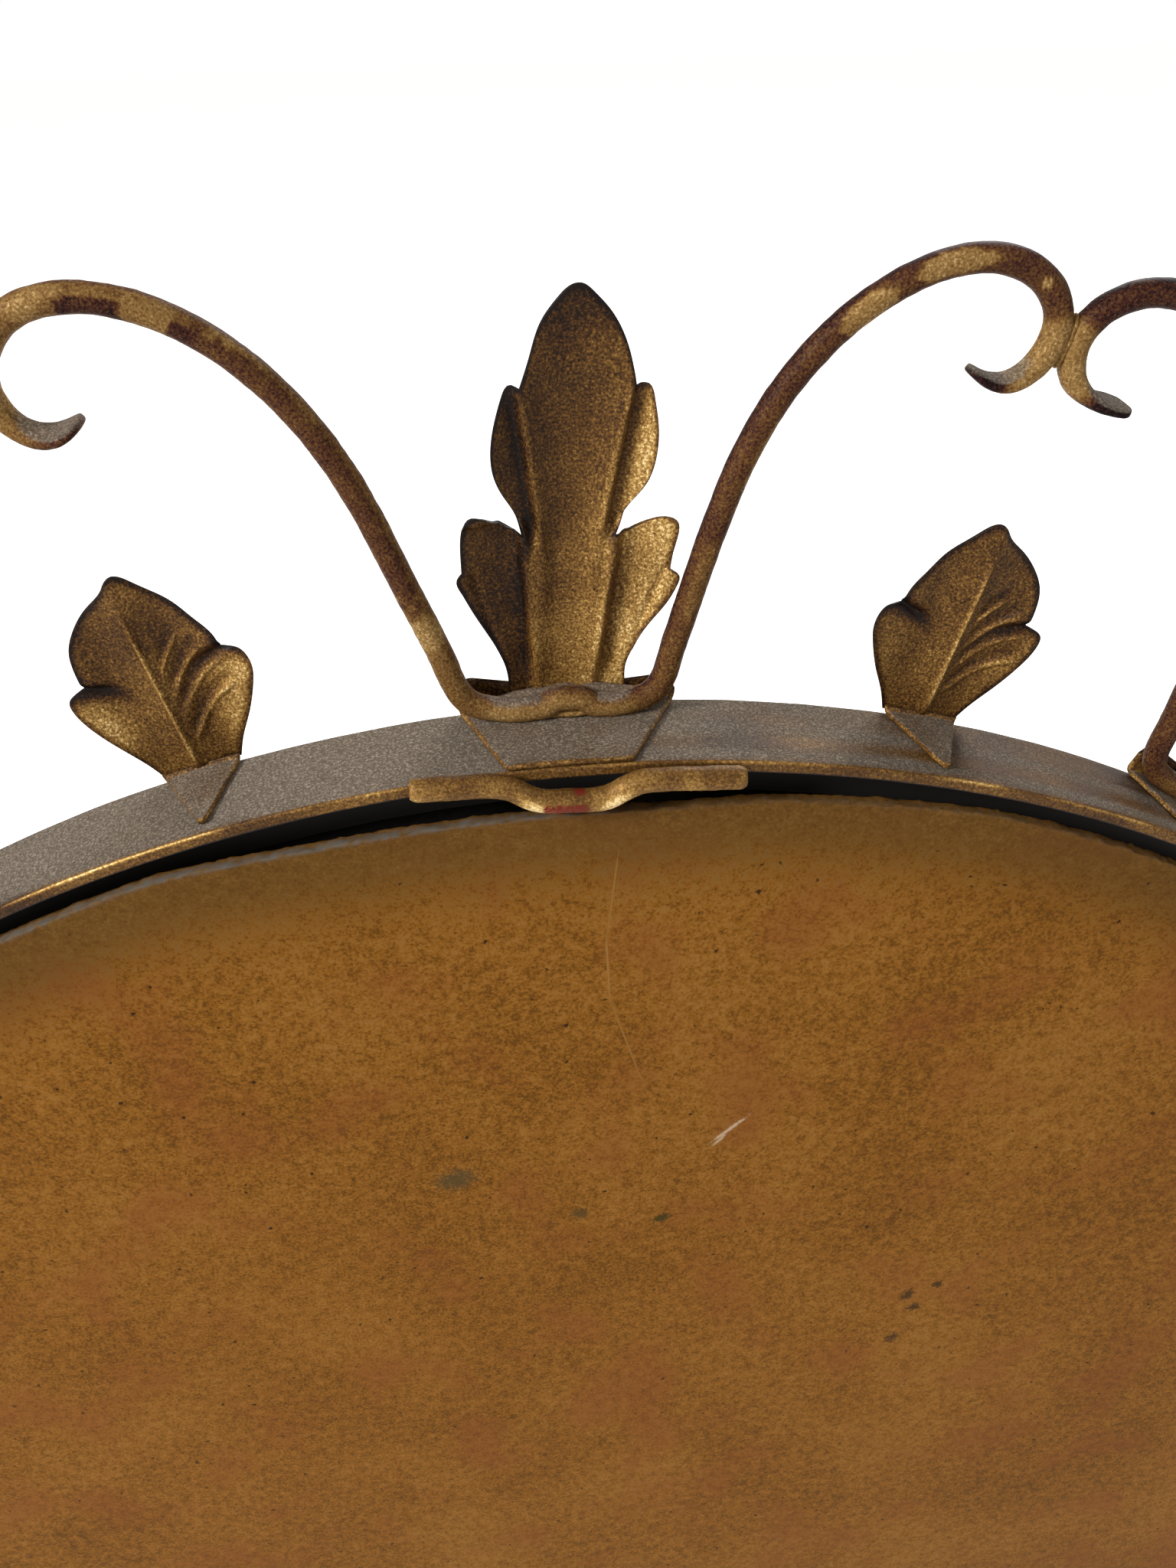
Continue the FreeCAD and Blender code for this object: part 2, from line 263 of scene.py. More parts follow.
# Bronze-powder paint over a red iron-oxide primer on mild steel, brushed on and wiped with umber. The powder
# gives a soft grainy gold, the umber stays in hollows and at rims, and dust lies on what faces up.
bronzePaint = {
    "wash": [(0.0, "#100805"), (0.22, "#38220f"), (0.45, "#5e401c"), (0.68, "#8d6935"), (0.88, "#bf9a5a"),
             (1.0, "#ecd29c")],
    "dust": [(0.34, "#554c42"), (0.52, "#6b6155"), (0.68, "#978c7e")],
    "primer": "#6c2015", "wearGrain": 1.6, "wearFrom": 1.35, "wearTo": 1.45, "grain": 0.55,
    "grainAmount": 1.4, "grainHeight": 0.12, "bump": 0.6, "cloud": 9.0, "cloudAmount": 0.28,
    "powderMetal": 0.3, "powderFrom": 0.3, "powderTo": 0.8, "gloss": 0.12, "roughness": 0.5,
    "dustRoughness": 0.95, "dustCloud": 0.5, "dustFrom": 0.6, "dustTo": 1.05, "dustMost": 0.88}


def makeBronzePaint(name, changes=None):
    # Three layers steer it. Tone runs from umber to bright powder, dust adds to how far a face looks up, and
    # wear bares the primer. On the scroll arms part of the dust layer is a painted highlight.
    look = {**bronzePaint, **(changes or {})}
    material, tree = newMaterial(name)
    onObject = {"Vector": (addNode(tree, "TexCoord"), "Object")}
    grain = addNode(tree, "TexNoise",
                    {"Scale": perMillimetre(look["grain"]), "Detail": 2.0, "Roughness": 0.7, **onObject})
    cloud = addNode(tree, "TexNoise", {"Scale": perMillimetre(look["cloud"]), "Detail": 3.0, **onObject})
    layer = {key: addNode(tree, "Attribute", {"attribute_name": key}) for key in ("tone", "dust", "wear")}
    grained = addNode(tree, "Math", {"operation": "MULTIPLY_ADD", 0: grain, 1: look["grainAmount"],
                                     2: (layer["tone"], "Fac")})
    clouded = addNode(tree, "Math", {"operation": "MULTIPLY_ADD", 0: cloud, 1: look["cloudAmount"],
                                     2: grained})
    middle = (look["grainAmount"] + look["cloudAmount"]) / 2
    tone = addNode(tree, "MapRange", {"From Min": middle, "From Max": middle + 1, "Value": clouded})
    wash = addNode(tree, "ValToRGB", {"Fac": tone}, stops=look["wash"])
    rubbed = addNode(tree, "Math", {"operation": "MULTIPLY_ADD", 0: grain, 1: look["wearGrain"],
                                    2: (layer["wear"], "Fac")})
    primerMask = addNode(tree, "MapRange",
                         {"From Min": look["wearFrom"], "From Max": look["wearTo"], "Value": rubbed})
    worn = addNode(tree, "Mix", {"data_type": "RGBA", 7: colour(look["primer"]), 0: primerMask, 6: wash})
    facing = addNode(tree, "NewGeometry")
    facingUp = addNode(tree, "SeparateXYZ", {0: (facing, "Normal")})
    settled = addNode(tree, "Math", {"operation": "ADD", 0: (facingUp, 2), 1: (layer["dust"], "Fac")})
    drifted = addNode(tree, "Math", {"operation": "MULTIPLY_ADD", 0: cloud, 1: look["dustCloud"], 2: settled})
    dustMask = addNode(tree, "MapRange",
                       {"interpolation_type": "SMOOTHSTEP", "From Min": look["dustFrom"],
                        "From Max": look["dustTo"], "To Max": look["dustMost"], "Value": drifted})
    dust = addNode(tree, "ValToRGB", {"Fac": grain}, stops=look["dust"])
    dusty = addNode(tree, "Mix", {"data_type": "RGBA", 0: dustMask, 6: (worn, 2), 7: dust})
    powder = addNode(tree, "MapRange",
                     {"From Min": look["powderFrom"], "From Max": look["powderTo"],
                      "To Max": look["powderMetal"], "Value": tone})
    bare = addNode(tree, "Math", {"operation": "SUBTRACT", 0: 1.0, 1: dustMask})
    metal = addNode(tree, "Math", {"operation": "MULTIPLY", 0: powder, 1: bare})
    rough = addNode(tree, "MapRange",
                    {"To Min": look["roughness"], "To Max": look["dustRoughness"], "Value": dustMask})
    bump = addNode(tree, "Bump", {"Strength": look["bump"], "Distance": look["grainHeight"] * mm,
                                  "Height": grain})
    shader = addNode(tree, "BsdfPrincipled",
                     {"Specular IOR Level": look["gloss"], "Base Color": (dusty, 2), "Metallic": metal,
                      "Roughness": rough, "Normal": bump})
    finishMaterial(tree, shader)
    return material


leafPaint = makeBronzePaint("stampedLeafBronzePaint")
scrollPaint = makeBronzePaint("scrollBronzePaint", {
    "wash": [(0.0, "#110808"), (0.2, "#40231b"), (0.42, "#634422"), (0.68, "#8b6b3d"), (0.9, "#bd9f6c"),
             (1.0, "#e6d0a2")],
    "grainAmount": 1.05, "cloud": 5.0, "cloudAmount": 0.3, "gloss": 0.05, "powderMetal": 0.15,
    "dustMost": 0.72})
hoopPaint = makeBronzePaint("hoopBronzePaint", {"cloud": 30.0, "grainAmount": 1.0})
hangerPaint = makeBronzePaint("hangerBronzePaint", {"grainAmount": 0.9, "cloud": 4.0})

# Tempered hardboard, pressed wood fibre: a brown, slightly waxy face mottled by damp, with dark flecks of
# bark, and a furry cut edge that holds grey dust.
hardboard = {"brownDark": "#5c3a12", "brownMiddle": "#805219", "brownLight": "#a5773a", "red": "#7c4520",
             "rimShade": "#46361a", "fleck": "#1d130a", "fuzz": "#5d564d", "flecks": 4.5, "fibreShare": 1.6,
             "clumpShare": 0.7, "stainShare": 0.6, "lift": 0.15, "gloss": 0.04, "smooth": 0.55, "coarse": 0.8,
             "bump": 0.5, "fibreHeight": 0.15, "darkTone": 1.32, "middleTone": 1.6, "rimUneven": 1.1,
             "rimShift": -0.98, "fleckRare": 0.36, "fleckWidest": 0.16, "fleckFray": 0.35, "markFray": 2.4}
# Width of the patches of each noise in millimetres, its detail, its roughness and its distortion
hardboardNoises = {"stain": (70.0, 5.0, 0.55, 0.0), "fibre": (0.8, 3.0, 0.7, 0.0),
                   "clump": (3.0, 3.0, 0.5, 0.0), "damp": (28.0, 3.0, 0.5, 0.0), "hair": (4.0, 1.0, 0.5, 1.5)}
# Scratches and smudges on the hardboard: across and up of each middle, how far its length is turned from
# level, half its length, half its width, and its colour
boardMarks = [(7.0, 277.8, 84, 13.5, 0.22, "#8b632f"), (6.0, 255.4, 92, 9.8, 0.24, "#926a38"),
              (10.5, 230.9, 105, 16, 0.22, "#8a6332"), (38.0, 194, 44, 5.5, 0.6, "#b9a184"),
              (35.5, 190, 50, 2.5, 0.5, "#b09878"), (-35, 184.6, 20, 5.2, 3.7, "#4e3f24"),
              (-2.4, 164.6, -30, 2.6, 2.0, "#4f3b1c"), (20.7, 159, 25, 2.4, 1.6, "#2f2f12"),
              (98, 107, 70, 3.0, 1.9, "#3a2814"), (101, 100, 30, 2.1, 1.8, "#342312"),
              (96, 84, 60, 2.4, 1.8, "#3a2814"), (107, 111, 10, 1.8, 1.6, "#342312")]
# How deep a mark reaches into the board, in metres, so that all of the uneven face has it
markReach = 0.01


def makeHardboard(name):
    # noises of several sizes add up to a tone, and thin coats of other colours lie over it
    material, tree = newMaterial(name)
    onObject = {"Vector": (addNode(tree, "TexCoord"), "Object")}
    noise = {}
    for key, (width, detail, uneven, twist) in hardboardNoises.items():
        noise[key] = addNode(tree, "TexNoise", {"Scale": perMillimetre(width), "Detail": detail,
                                                "Roughness": uneven, "Distortion": twist, **onObject})
    fibre = noise["fibre"]
    # The tone is the sum of single fibres, clumps of them and broad stains
    mixed = addNode(tree, "Math", {"operation": "MULTIPLY_ADD", 0: fibre, 1: hardboard["fibreShare"],
                                   2: hardboard["lift"]})
    fibrous = addNode(tree, "Math", {"operation": "MULTIPLY_ADD", 0: noise["clump"],
                                     1: hardboard["clumpShare"], 2: mixed})
    tone = addNode(tree, "Math", {"operation": "MULTIPLY_ADD", 0: noise["stain"], 1: hardboard["stainShare"],
                                  2: fibrous})
    # The middle contour of a warped noise is a thin curly line, as a loose fibre is
    offHair = addNode(tree, "Math", {"operation": "SUBTRACT", 0: noise["hair"], 1: 0.5})
    farHair = addNode(tree, "Math", {"operation": "ABSOLUTE", 0: offHair})
    edge, cut = (addNode(tree, "Attribute", {"attribute_name": key}) for key in ("edge", "cut"))
    edgeUneven = addNode(tree, "Math", {"operation": "MULTIPLY_ADD", 0: tone, 1: hardboard["rimUneven"],
                                        2: hardboard["rimShift"]})
    edgeSum = addNode(tree, "Math", {"operation": "ADD", 0: (edge, "Fac"), 1: edgeUneven})
    # Each cell's own random colour decides how wide its fleck is, and many cells have none
    cell = addNode(tree, "TexVoronoi", {"Scale": perMillimetre(hardboard["flecks"]), **onObject})
    chance = addNode(tree, "SeparateXYZ", {0: (cell, "Color")})
    fleckSize = addNode(tree, "MapRange", {"From Min": hardboard["fleckRare"],
                                           "To Max": hardboard["fleckWidest"], "Value": chance})
    fleckEdge = addNode(tree, "Math", {"operation": "MULTIPLY_ADD", 0: fibre, 1: hardboard["fleckFray"],
                                       2: (cell, "Distance")})
    fleckReach = addNode(tree, "Math", {"operation": "SUBTRACT", 0: fleckEdge, 1: fleckSize})
    # Colours that lie over one another: what each follows, over which of its values it comes in, how much of
    # it at most, whether it comes in evenly, and the colour
    coats = [(tone, 1.6, 1.95, 0.6, "LINEAR", hardboard["brownLight"]),
             (noise["damp"], 0.5, 0.66, 0.4, "LINEAR", hardboard["red"]),
             (farHair, 0.012, 0.0, 0.6, "LINEAR", hardboard["brownDark"]),
             # the board darker towards its rim: painted shade from the hoop's rim and in the gap around the
             # board
             (edgeSum, 0.85, 1.8, 0.62, "SMOOTHSTEP", hardboard["rimShade"]),
             (fleckReach, 0.17, 0.11, 0.85, "LINEAR", hardboard["fleck"])]
    for across, up, turn, halfLength, halfWidth, code in boardMarks:
        # a Mapping node brings the mark's ellipse to a ball of radius 1, and the fibres break up its edge
        local = addNode(tree, "Mapping",
                        {"vector_type": "TEXTURE", "Location": toFrame(np.array([across, up, board["back"]])),
                         "Rotation": (0, np.radians(turn), 0),
                         "Scale": (halfLength * mm, markReach, halfWidth * mm), **onObject})
        reach = addNode(tree, "VectorMath", {"operation": "LENGTH", 0: local})
        broken = addNode(tree, "Math", {"operation": "MULTIPLY_ADD", 0: fibre, 1: hardboard["markFray"],
                                        2: (reach, "Value")})
        coats.append((broken, 2.5, 1.8, 0.85, "LINEAR", code))
    dim = addNode(tree, "MapRange", {"From Min": hardboard["darkTone"], "From Max": hardboard["middleTone"],
                                     "Value": tone})
    face = addNode(tree, "Mix", {"data_type": "RGBA", 6: colour(hardboard["brownDark"]),
                                 7: colour(hardboard["brownMiddle"]), 0: dim})
    for source, low, high, most, way, code in coats:
        mask = addNode(tree, "MapRange",
                       {"interpolation_type": way, "From Min": low, "From Max": high, "To Max": most,
                        "Value": source})
        face = addNode(tree, "Mix", {"data_type": "RGBA", 7: colour(code), 0: mask, 6: (face, 2)})
    furred = addNode(tree, "Mix", {"data_type": "RGBA", 7: colour(hardboard["fuzz"]), 0: (cut, "Fac"),
                                   6: (face, 2)})
    rough = addNode(tree, "MapRange",
                    {"To Min": hardboard["smooth"], "To Max": hardboard["coarse"], "Value": fibre})
    bump = addNode(tree, "Bump", {"Strength": hardboard["bump"], "Distance": hardboard["fibreHeight"] * mm,
                                  "Height": fibre})
    shader = addNode(tree, "BsdfPrincipled",
                     {"Specular IOR Level": hardboard["gloss"], "Base Color": (furred, 2), "Roughness": rough,
                      "Normal": bump})
    finishMaterial(tree, shader)
    return material


def makePlain(name, look):
    # even finish with a fine mottle: one noise tints the colour and the roughness a little
    material, tree = newMaterial(name)
    mottle = addNode(tree, "TexNoise",
                     {"Scale": perMillimetre(look["mottle"]), "Detail": 4.0,
                      "Vector": (addNode(tree, "TexCoord"), "Object")})
    tint = addNode(tree, "ValToRGB", {"Fac": mottle}, stops=[(0.3, look["dark"]), (0.7, look["light"])])
    rough = addNode(tree, "MapRange",
                    {"To Min": look["roughness"] * 0.8, "To Max": look["roughness"] * 1.2, "Value": mottle})
    shader = addNode(tree, "BsdfPrincipled",
                     {"Metallic": look["metallic"], "Specular IOR Level": look["gloss"], "Base Color": tint,
                      "Roughness": rough})
    finishMaterial(tree, shader)
    return material


# Silvered float glass: a clean bright image, and behind the silver a coat of backing paint,
# made near black: painted shade for the dark gap behind the board
glassLook = {"silver": "#dfe3e1", "backing": "#1a1613", "clearness": 0.025, "paintRoughness": 0.6}


def makeSilveredGlass(name):
    # the coat shows on the face that looks back, which the normal's Y tells
    material, tree = newMaterial(name)
    facing = addNode(tree, "NewGeometry")
    facingBack = addNode(tree, "SeparateXYZ", {0: (facing, "Normal")})
    backed = addNode(tree, "MapRange", {"From Min": 0.4, "From Max": 0.6, "Value": (facingBack, 1)})
    tint = addNode(tree, "Mix", {"data_type": "RGBA", 6: colour(glassLook["silver"]),
                                 7: colour(glassLook["backing"]), 0: backed})
    metal = addNode(tree, "Math", {"operation": "SUBTRACT", 0: 1.0, 1: backed})
    rough = addNode(tree, "MapRange",
                    {"To Min": glassLook["clearness"], "To Max": glassLook["paintRoughness"],
                     "Value": backed})
    shader = addNode(tree, "BsdfPrincipled", {"Base Color": (tint, 2), "Metallic": metal, "Roughness": rough})
    finishMaterial(tree, shader)
    return material


silveredGlass = makeSilveredGlass("silveredGlass")
# Packing strawboard coloured near black: painted shade for the dark gap behind the board's rim. Rough and
# matt
shadeStrawboard = makePlain("strawboardPaintedShade", {"dark": "#0b0a09", "light": "#141210", "mottle": 2.0,
                                                "roughness": 0.9, "metallic": 0.0, "gloss": 0.02})
# Mild steel strip with mill scale: dull dark grey metal
clipSteel = makePlain("millScaleSteel", {"dark": "#4a4440", "light": "#6d6660", "mottle": 3.0,
                                         "roughness": 0.5, "metallic": 0.8, "gloss": 0.5})
print("materials made")


# Hoop and its stop ring: a rounded bar section carried round a circle
hoopBar = {"thickness": 3.0, "edge": 0.7, "around": 900, "cornerSteps": 5, "faceSteps": 12, "wave": 0.12,
           "waveLength": 90, "dent": 0.05, "dentLength": 9, "stopSetback": 7.0, "stopThickness": 3.0,
           "stopWidth": 6.0, "stopEdge": 0.4, "stopWave": 0.08, "stopDent": 0.04}


def barSection(low, high, front, back, edge):
    # rectangle in radius and back with its corners rounded by quarter circles, going round once
    corners = [(high - edge, back - edge, 0), (low + edge, back - edge, 1),
               (low + edge, front + edge, 2), (high - edge, front + edge, 3)]
    steps = hoopBar["cornerSteps"]
    rounds = []
    for radius, depth, quarter in corners:
        angle = (quarter + np.linspace(0, 1, steps)) * np.pi / 2
        rounds.append(np.stack([radius + edge * np.cos(angle), depth + edge * np.sin(angle)], -1))
    outline = np.vstack(rounds)
    onward = np.roll(outline, -1, axis=0) - outline
    share = np.linspace(0, 1, hoopBar["faceSteps"], endpoint=False)[:, None]
    return np.vstack([outline[[place]] + share * onward[[place]] if place % steps == steps - 1
                      else outline[[place]] for place in range(len(outline))])


def ringSurface(section, around, wave, dent, seed):
    # the section's radius and depth at every turn of the hoop, with a hand-bent unevenness
    degrees = np.linspace(0, 360, around, endpoint=False)
    grid = polar(section[:, None, 0], degrees[None, :], section[:, None, 1])
    outwards = polar(1.0, degrees, 0.0)[None]
    swell = wave * ripple(grid, hoopBar["waveLength"], seed)
    swell = swell + dent * ripple(grid, hoopBar["dentLength"], seed + 1)
    return grid + outwards * swell[..., None]


hoopInner = hoopOuter - hoopBar["thickness"]
hoopSection = barSection(hoopInner, hoopOuter, 0, hoopDepth, hoopBar["edge"])
hoopGrid = ringSurface(hoopSection, hoopBar["around"], hoopBar["wave"], hoopBar["dent"], 3)
hoopRadii = np.hypot(hoopGrid[..., 0], hoopGrid[..., 1])
onOutside = ease(hoopOuter - 0.9, hoopOuter - 0.3, hoopRadii)
innerFaceShade = 1 - ease(hoopInner + 0.1, hoopInner + 0.8, hoopRadii)
toRim = ease(hoopDepth - 0.9, hoopDepth - 0.3, hoopGrid[..., 2])
# The corner where the outside meets the back edge has been handled bright
corner = hump(hoopOuter - 0.2 - hoopRadii, 0.4) * hump(hoopDepth - 0.2 - hoopGrid[..., 2], 0.4)
corner = corner * np.clip(0.55 + 1.2 * ripple(hoopGrid, 18, 7), 0, 1)
# the inner face is made dark: painted shade for the shadowed gap between the band and the board
hoopTone = 0.34 + 0.06 * toRim + 0.14 * ripple(hoopGrid, 22, 5) - 0.6 * innerFaceShade + 0.42 * corner
# A cloth has wiped some of the dust off, in streaks along the hoop, most of it to the right of the hanger
hoopTurn = np.degrees(np.arctan2(hoopGrid[..., 0], hoopGrid[..., 1]))
streaks = ripple(np.stack([hoopTurn * 0.12, 0 * hoopTurn, hoopGrid[..., 2]], -1), 5, 6, 14)
wiped = 0.2 * hump(hoopTurn - 19, 17) + 0.2 * streaks * (0.35 + hump(hoopTurn - 19, 20))
hoopDust = (-0.17 - wiped) * onOutside - 0.55 * toRim - 0.4 * corner - 0.9 * (1 - onOutside)
hoopSurface = {"grid": hoopGrid, "alongClosed": True, "layers": {"tone": hoopTone, "dust": hoopDust}}
makePiece("hoopBand", [hoopSurface], hoopPaint, "hoop_band")

stopFront = hoopBar["stopSetback"]
stopSection = barSection(hoopInner - hoopBar["stopWidth"], hoopInner + 0.1, stopFront,
                         stopFront + hoopBar["stopThickness"], hoopBar["stopEdge"])
stopGrid = ringSurface(stopSection, hoopBar["around"] // 2, hoopBar["stopWave"], hoopBar["stopDent"], 11)
# darker towards its back: painted shade for the dark gap inside the hoop
stopTone = 0.45 - 0.4 * ease(stopFront + 0.5, stopFront + 1.5, stopGrid[..., 2])
stopSurface = {"grid": stopGrid, "alongClosed": True, "layers": {"tone": stopTone, "dust": -0.9}}
makePiece("stopRing", [stopSurface], hoopPaint, "stop_ring")
print("hoop made")


# Hardboard: its section from the middle of the back, over the cut edge, to the middle of the front
board = {"radius": 309.0, "drop": 3.3, "topGap": 9.6, "topRadius": 383.0, "back": 24.5, "thickness": 3.2,
         "around": 1600, "toMiddle": 300.0, "backRows": 26, "frontRows": 12, "fray": 0.5, "warp": 0.2,
         "rightLift": 1.75, "leftLift": 1.5}


def toRightOf(degrees):
    # turns from 0 to 360 brought to -180 to 180, where the left is negative
    return (degrees + 180) % 360 - 180


def boardOutline(degrees):
    # the nearer of two circles from the middle: the low-set disc, and the flatter arc trimmed across its top,
    # which was cut a little high on both sides of the hanger
    angle = np.radians(degrees)
    toRight = toRightOf(degrees)
    lift = board["rightLift"] * ease(3, 9, toRight) * (1 - ease(30, 60, toRight))
    lift = lift + board["leftLift"] * ease(10, 18, -toRight) * (1 - ease(30, 60, -toRight))
    discDrop = board["drop"]
    disc = -discDrop * np.cos(angle) + np.sqrt(board["radius"] ** 2 - (discDrop * np.sin(angle)) ** 2)
    trimDrop = board["topRadius"] - (hoopInner - board["topGap"])
    trim = -trimDrop * np.cos(angle) + np.sqrt(board["topRadius"] ** 2 - (trimDrop * np.sin(angle)) ** 2)
    return np.minimum(disc, trim) + lift


def makeBoard():
    degrees = np.linspace(0, 360, board["around"], endpoint=False)
    rim = boardOutline(degrees)
    half = board["thickness"] / 2
    # how far each row lies in from the rim, and behind the middle of the sheet
    overBack = np.geomspace(board["toMiddle"], 0.5, board["backRows"])
    overFront = np.geomspace(0.5, board["toMiddle"], board["frontRows"])
    inwards = np.concatenate([overBack, [0.15, 0.0, 0.0, 0.0, 0.0, 0.15], overFront])
    edgeDepth = [half - 0.1, half - 0.5, 0.4, -0.4, -half + 0.5, -half + 0.1]
    depth = np.concatenate([np.full(len(overBack), half), edgeDepth, np.full(len(overFront), -half)])
    grid = polar(rim[None] - inwards[:, None], degrees[None], (board["back"] - half + depth)[:, None])
    onEdge = hump(inwards, 0.6)[:, None] * (np.abs(depth) < half)[:, None]
    fray = board["fray"] * (ripple(grid, 1.3, 21, 24) + 0.8 * ripple(grid, 5, 22, 16)) * onEdge
    grid = grid + polar(1.0, degrees, 0.0)[None] * (fray - 0.15 * onEdge)[..., None]
    grid[..., 2] += board["warp"] * ripple(grid, 260, 23)
    # 1 at the rim, fading over some 20 mm inwards: where the painted rim shade lies
    edge = hump(inwards, 20.0)[:, None]
    # the left of its top edge was sawn rougher, and holds more fluff
    rough = 0.2 + 0.8 * ease(5, -5, toRightOf(degrees))
    cut = np.clip(hump(inwards, 0.6)[:, None] * rough * (0.8 + 1.1 * ripple(grid, 2, 24, 16)), 0, 1)
    # the front of the cut edge has no fuzz, so it shows the painted rim shade of the gap
    cut = cut * ease(-1.2, 0.5, depth)[:, None]
    makePiece("hardboardBack", [{"grid": grid, "layers": {"edge": edge, "cut": cut}}],
              hardboardFace, "back_board")


hardboardFace = makeHardboard("agedHardboard")
makeBoard()
print("hardboard made")


# Scrolls: a round section carried along the bent line, its ends drawn out into ribbons
scroll = {"rod": 5.6, "rise": 97.5, "back": 6.0, "axis": -0.43, "seat": 1.35, "jointLow": 79.5,
          "jointHigh": 90.0, "ribbonThickness": 1.9, "ribbonWidth": 10.0, "ribbonLength": 20.0,
          "spreadLength": 15.0, "tipLength": 3.6, "step": 0.75, "sides": 28, "dent": 0.07, "footBack": 1.15,
          "footHump": 1.6, "uneven": 0.5}
# Width of the hammered end of an arm, where it shows. The others vary about ribbonWidth.
ribbonWidths = {(0, -1): 11.5, (0, 1): 7.6, (1, -1): 13.0}
# Centre line of each arm from the foot round to the end of its curl, as shares of the turn to the joint and
# of the rise from the foot
leftArmShares = [
    (0.18, 0.002), (0.228, 0.019), (0.257, 0.053), (0.274, 0.107), (0.336, 0.321), (0.394, 0.535),
    (0.447, 0.674), (0.519, 0.802), (0.615, 0.913), (0.734, 0.99), (0.845, 1.01), (0.894, 0.997),
    (0.937, 0.966), (0.967, 0.922), (0.977, 0.876), (0.969, 0.835), (0.943, 0.797), (0.909, 0.781),
    (0.874, 0.783), (0.844, 0.794)]
rightArmShares = [
    (0.218, 0.001), (0.255, 0.014), (0.281, 0.043), (0.297, 0.098), (0.331, 0.244), (0.382, 0.461),
    (0.455, 0.671), (0.53, 0.797), (0.628, 0.903), (0.748, 0.977), (0.814, 0.992), (0.88, 0.984),
    (0.934, 0.955), (0.966, 0.913), (0.975, 0.867), (0.965, 0.822), (0.94, 0.785), (0.907, 0.768),
    (0.872, 0.769), (0.828, 0.787)]
# The second unit's left curl opens wider. These follow the tenth place of its arm.
openCurlShares = [
    (0.853, 0.998), (0.893, 0.988), (0.931, 0.965), (0.962, 0.929), (0.977, 0.887), (0.975, 0.843),
    (0.954, 0.801), (0.918, 0.777), (0.876, 0.771), (0.833, 0.776)]
# Degrees by which the joint to the right of a unit stands off its even place
jointShifts = {0: -0.72, 11: 0.48}
footRadius = hoopOuter + scroll["seat"] + scroll["rod"] / 2
# The scroll stands a little to the left of the leaf, so its foot's middle is as far to the right of its axis
footMiddle = -footRadius * np.tan(np.radians(scroll["axis"]))


def armPlaces(unit, side):
    # Side is -1 for the left arm and 1 for the right. Hand-bent arms out of view stray a little, but not at
    # the foot, nor where they meet their neighbour.
    shift = jointShifts.get((unit - (side < 0)) % units, 0.0)
    reach = unitTurn / 2 + side * shift
    shares = np.array(rightArmShares if side > 0 else leftArmShares)
    if (unit, side) == (1, -1):
        shares = np.vstack([shares[:10], openCurlShares])
    degrees = side * reach * shares[:, 0]
    radius = footRadius + scroll["rise"] * shares[:, 1]
    if unit > 1:
        random = np.random.default_rng(300 + 2 * unit + (side > 0))
        along = np.linspace(0, 1, len(shares))
        free = ease(0, 0.2, along) * (1 - hump(along - 0.74, 0.14))
        degrees += random.uniform(-0.12, 0.12) * free
        radius -= scroll["uneven"] * random.uniform(0, 1) * free * np.sin(along * np.pi)
    return np.stack([degrees, radius], -1)


def scrollLine(unit):
    # The foot lies on the tab, a little further back than the arms, and humps up over the brazing.
    places = np.vstack([armPlaces(unit, -1)[::-1], [[0, footRadius]], armPlaces(unit, 1)])
    line = splineThrough(polar(places[:, 1], places[:, 0], scroll["back"]), scroll["step"])
    fromMiddle = line[:, 0] - footMiddle
    onFoot = 1 - ease(2, 12, line[:, 1] - footRadius)
    line[:, 2] += scroll["footBack"] * onFoot * (1 - ease(9, 19, np.abs(fromMiddle)))
    line[:, 1] += scroll["footHump"] * onFoot * (1 - ease(2.2, 5.6, np.abs(fromMiddle)))
    return line


def ringTurns(sides):
    # even angles in radians, once round
    return np.linspace(0, 2 * np.pi, sides, endpoint=False)


def rodSurface(line, halfThin, halfWide, sides, flat=0.0):
    # A ring round every place of the line: its first half-axis lies in the scroll's plane, its second along
    # back. Sine and cosine are raised to a power below 1 where the ring is flattened.
    along = np.gradient(line, axis=0)
    along /= np.linalg.norm(along, axis=1, keepdims=True)
    side = np.stack([-along[:, 1], along[:, 0], np.zeros(len(line))], -1)
    side /= np.linalg.norm(side, axis=1, keepdims=True)
    deepWay = np.cross(side, along)
    deepWay *= np.sign(deepWay[:, 2:])
    turn = ringTurns(sides)
    power = 1 - 0.45 * np.broadcast_to(flat, len(line))[:, None]
    cosine, sine = np.cos(turn)[None], np.sin(turn)[None]
    thin = halfThin[:, None] * np.sign(cosine) * np.abs(cosine) ** power
    wide = halfWide[:, None] * np.sign(sine) * np.abs(sine) ** power
    return line[:, None] + side[:, None] * thin[..., None] + deepWay[:, None] * wide[..., None]


# Paint on the scroll in view. Each patch has across and up of its middle, half its length, the turn round the
# rod of its middle and half its spread in degrees, its tone, and how square it is.
seenPatches = [(-92.4, 407.3, 2.6, 85, 50, 0.62, 2), (-88.5, 409.5, 4, 45, 35, 0.6, 2),
               (-80.8, 408.1, 6.2, 112, 38, 0.16, 6), (-71.7, 406.4, 4.4, 80, 60, 0.6, 6),
               (-64.6, 401.7, 4.2, 112, 38, 0.17, 6), (-58.5, 397.2, 5.0, 78, 58, 0.62, 6),
               (-43.5, 376, 33, 100, 58, 0.27, 6), (-29.3, 339.5, 4.0, 90, 75, 0.68, 3),
               (56.7, 400.4, 6.3, 92, 60, 0.62, 2), (72.2, 407.8, 7.2, 78, 52, 0.62, 2),
               (90.5, 405.5, 0.9, 95, 25, 0.7, 2), (25.0, 348, 9, 95, 40, 0.46, 2),
               (36.5, 375, 8, 135, 22, 0.5, 2)]
# Each scroll out of view has this many patches at random, none of them on its ribbons
hiddenPatches = {"count": 11, "fromEnds": 36}


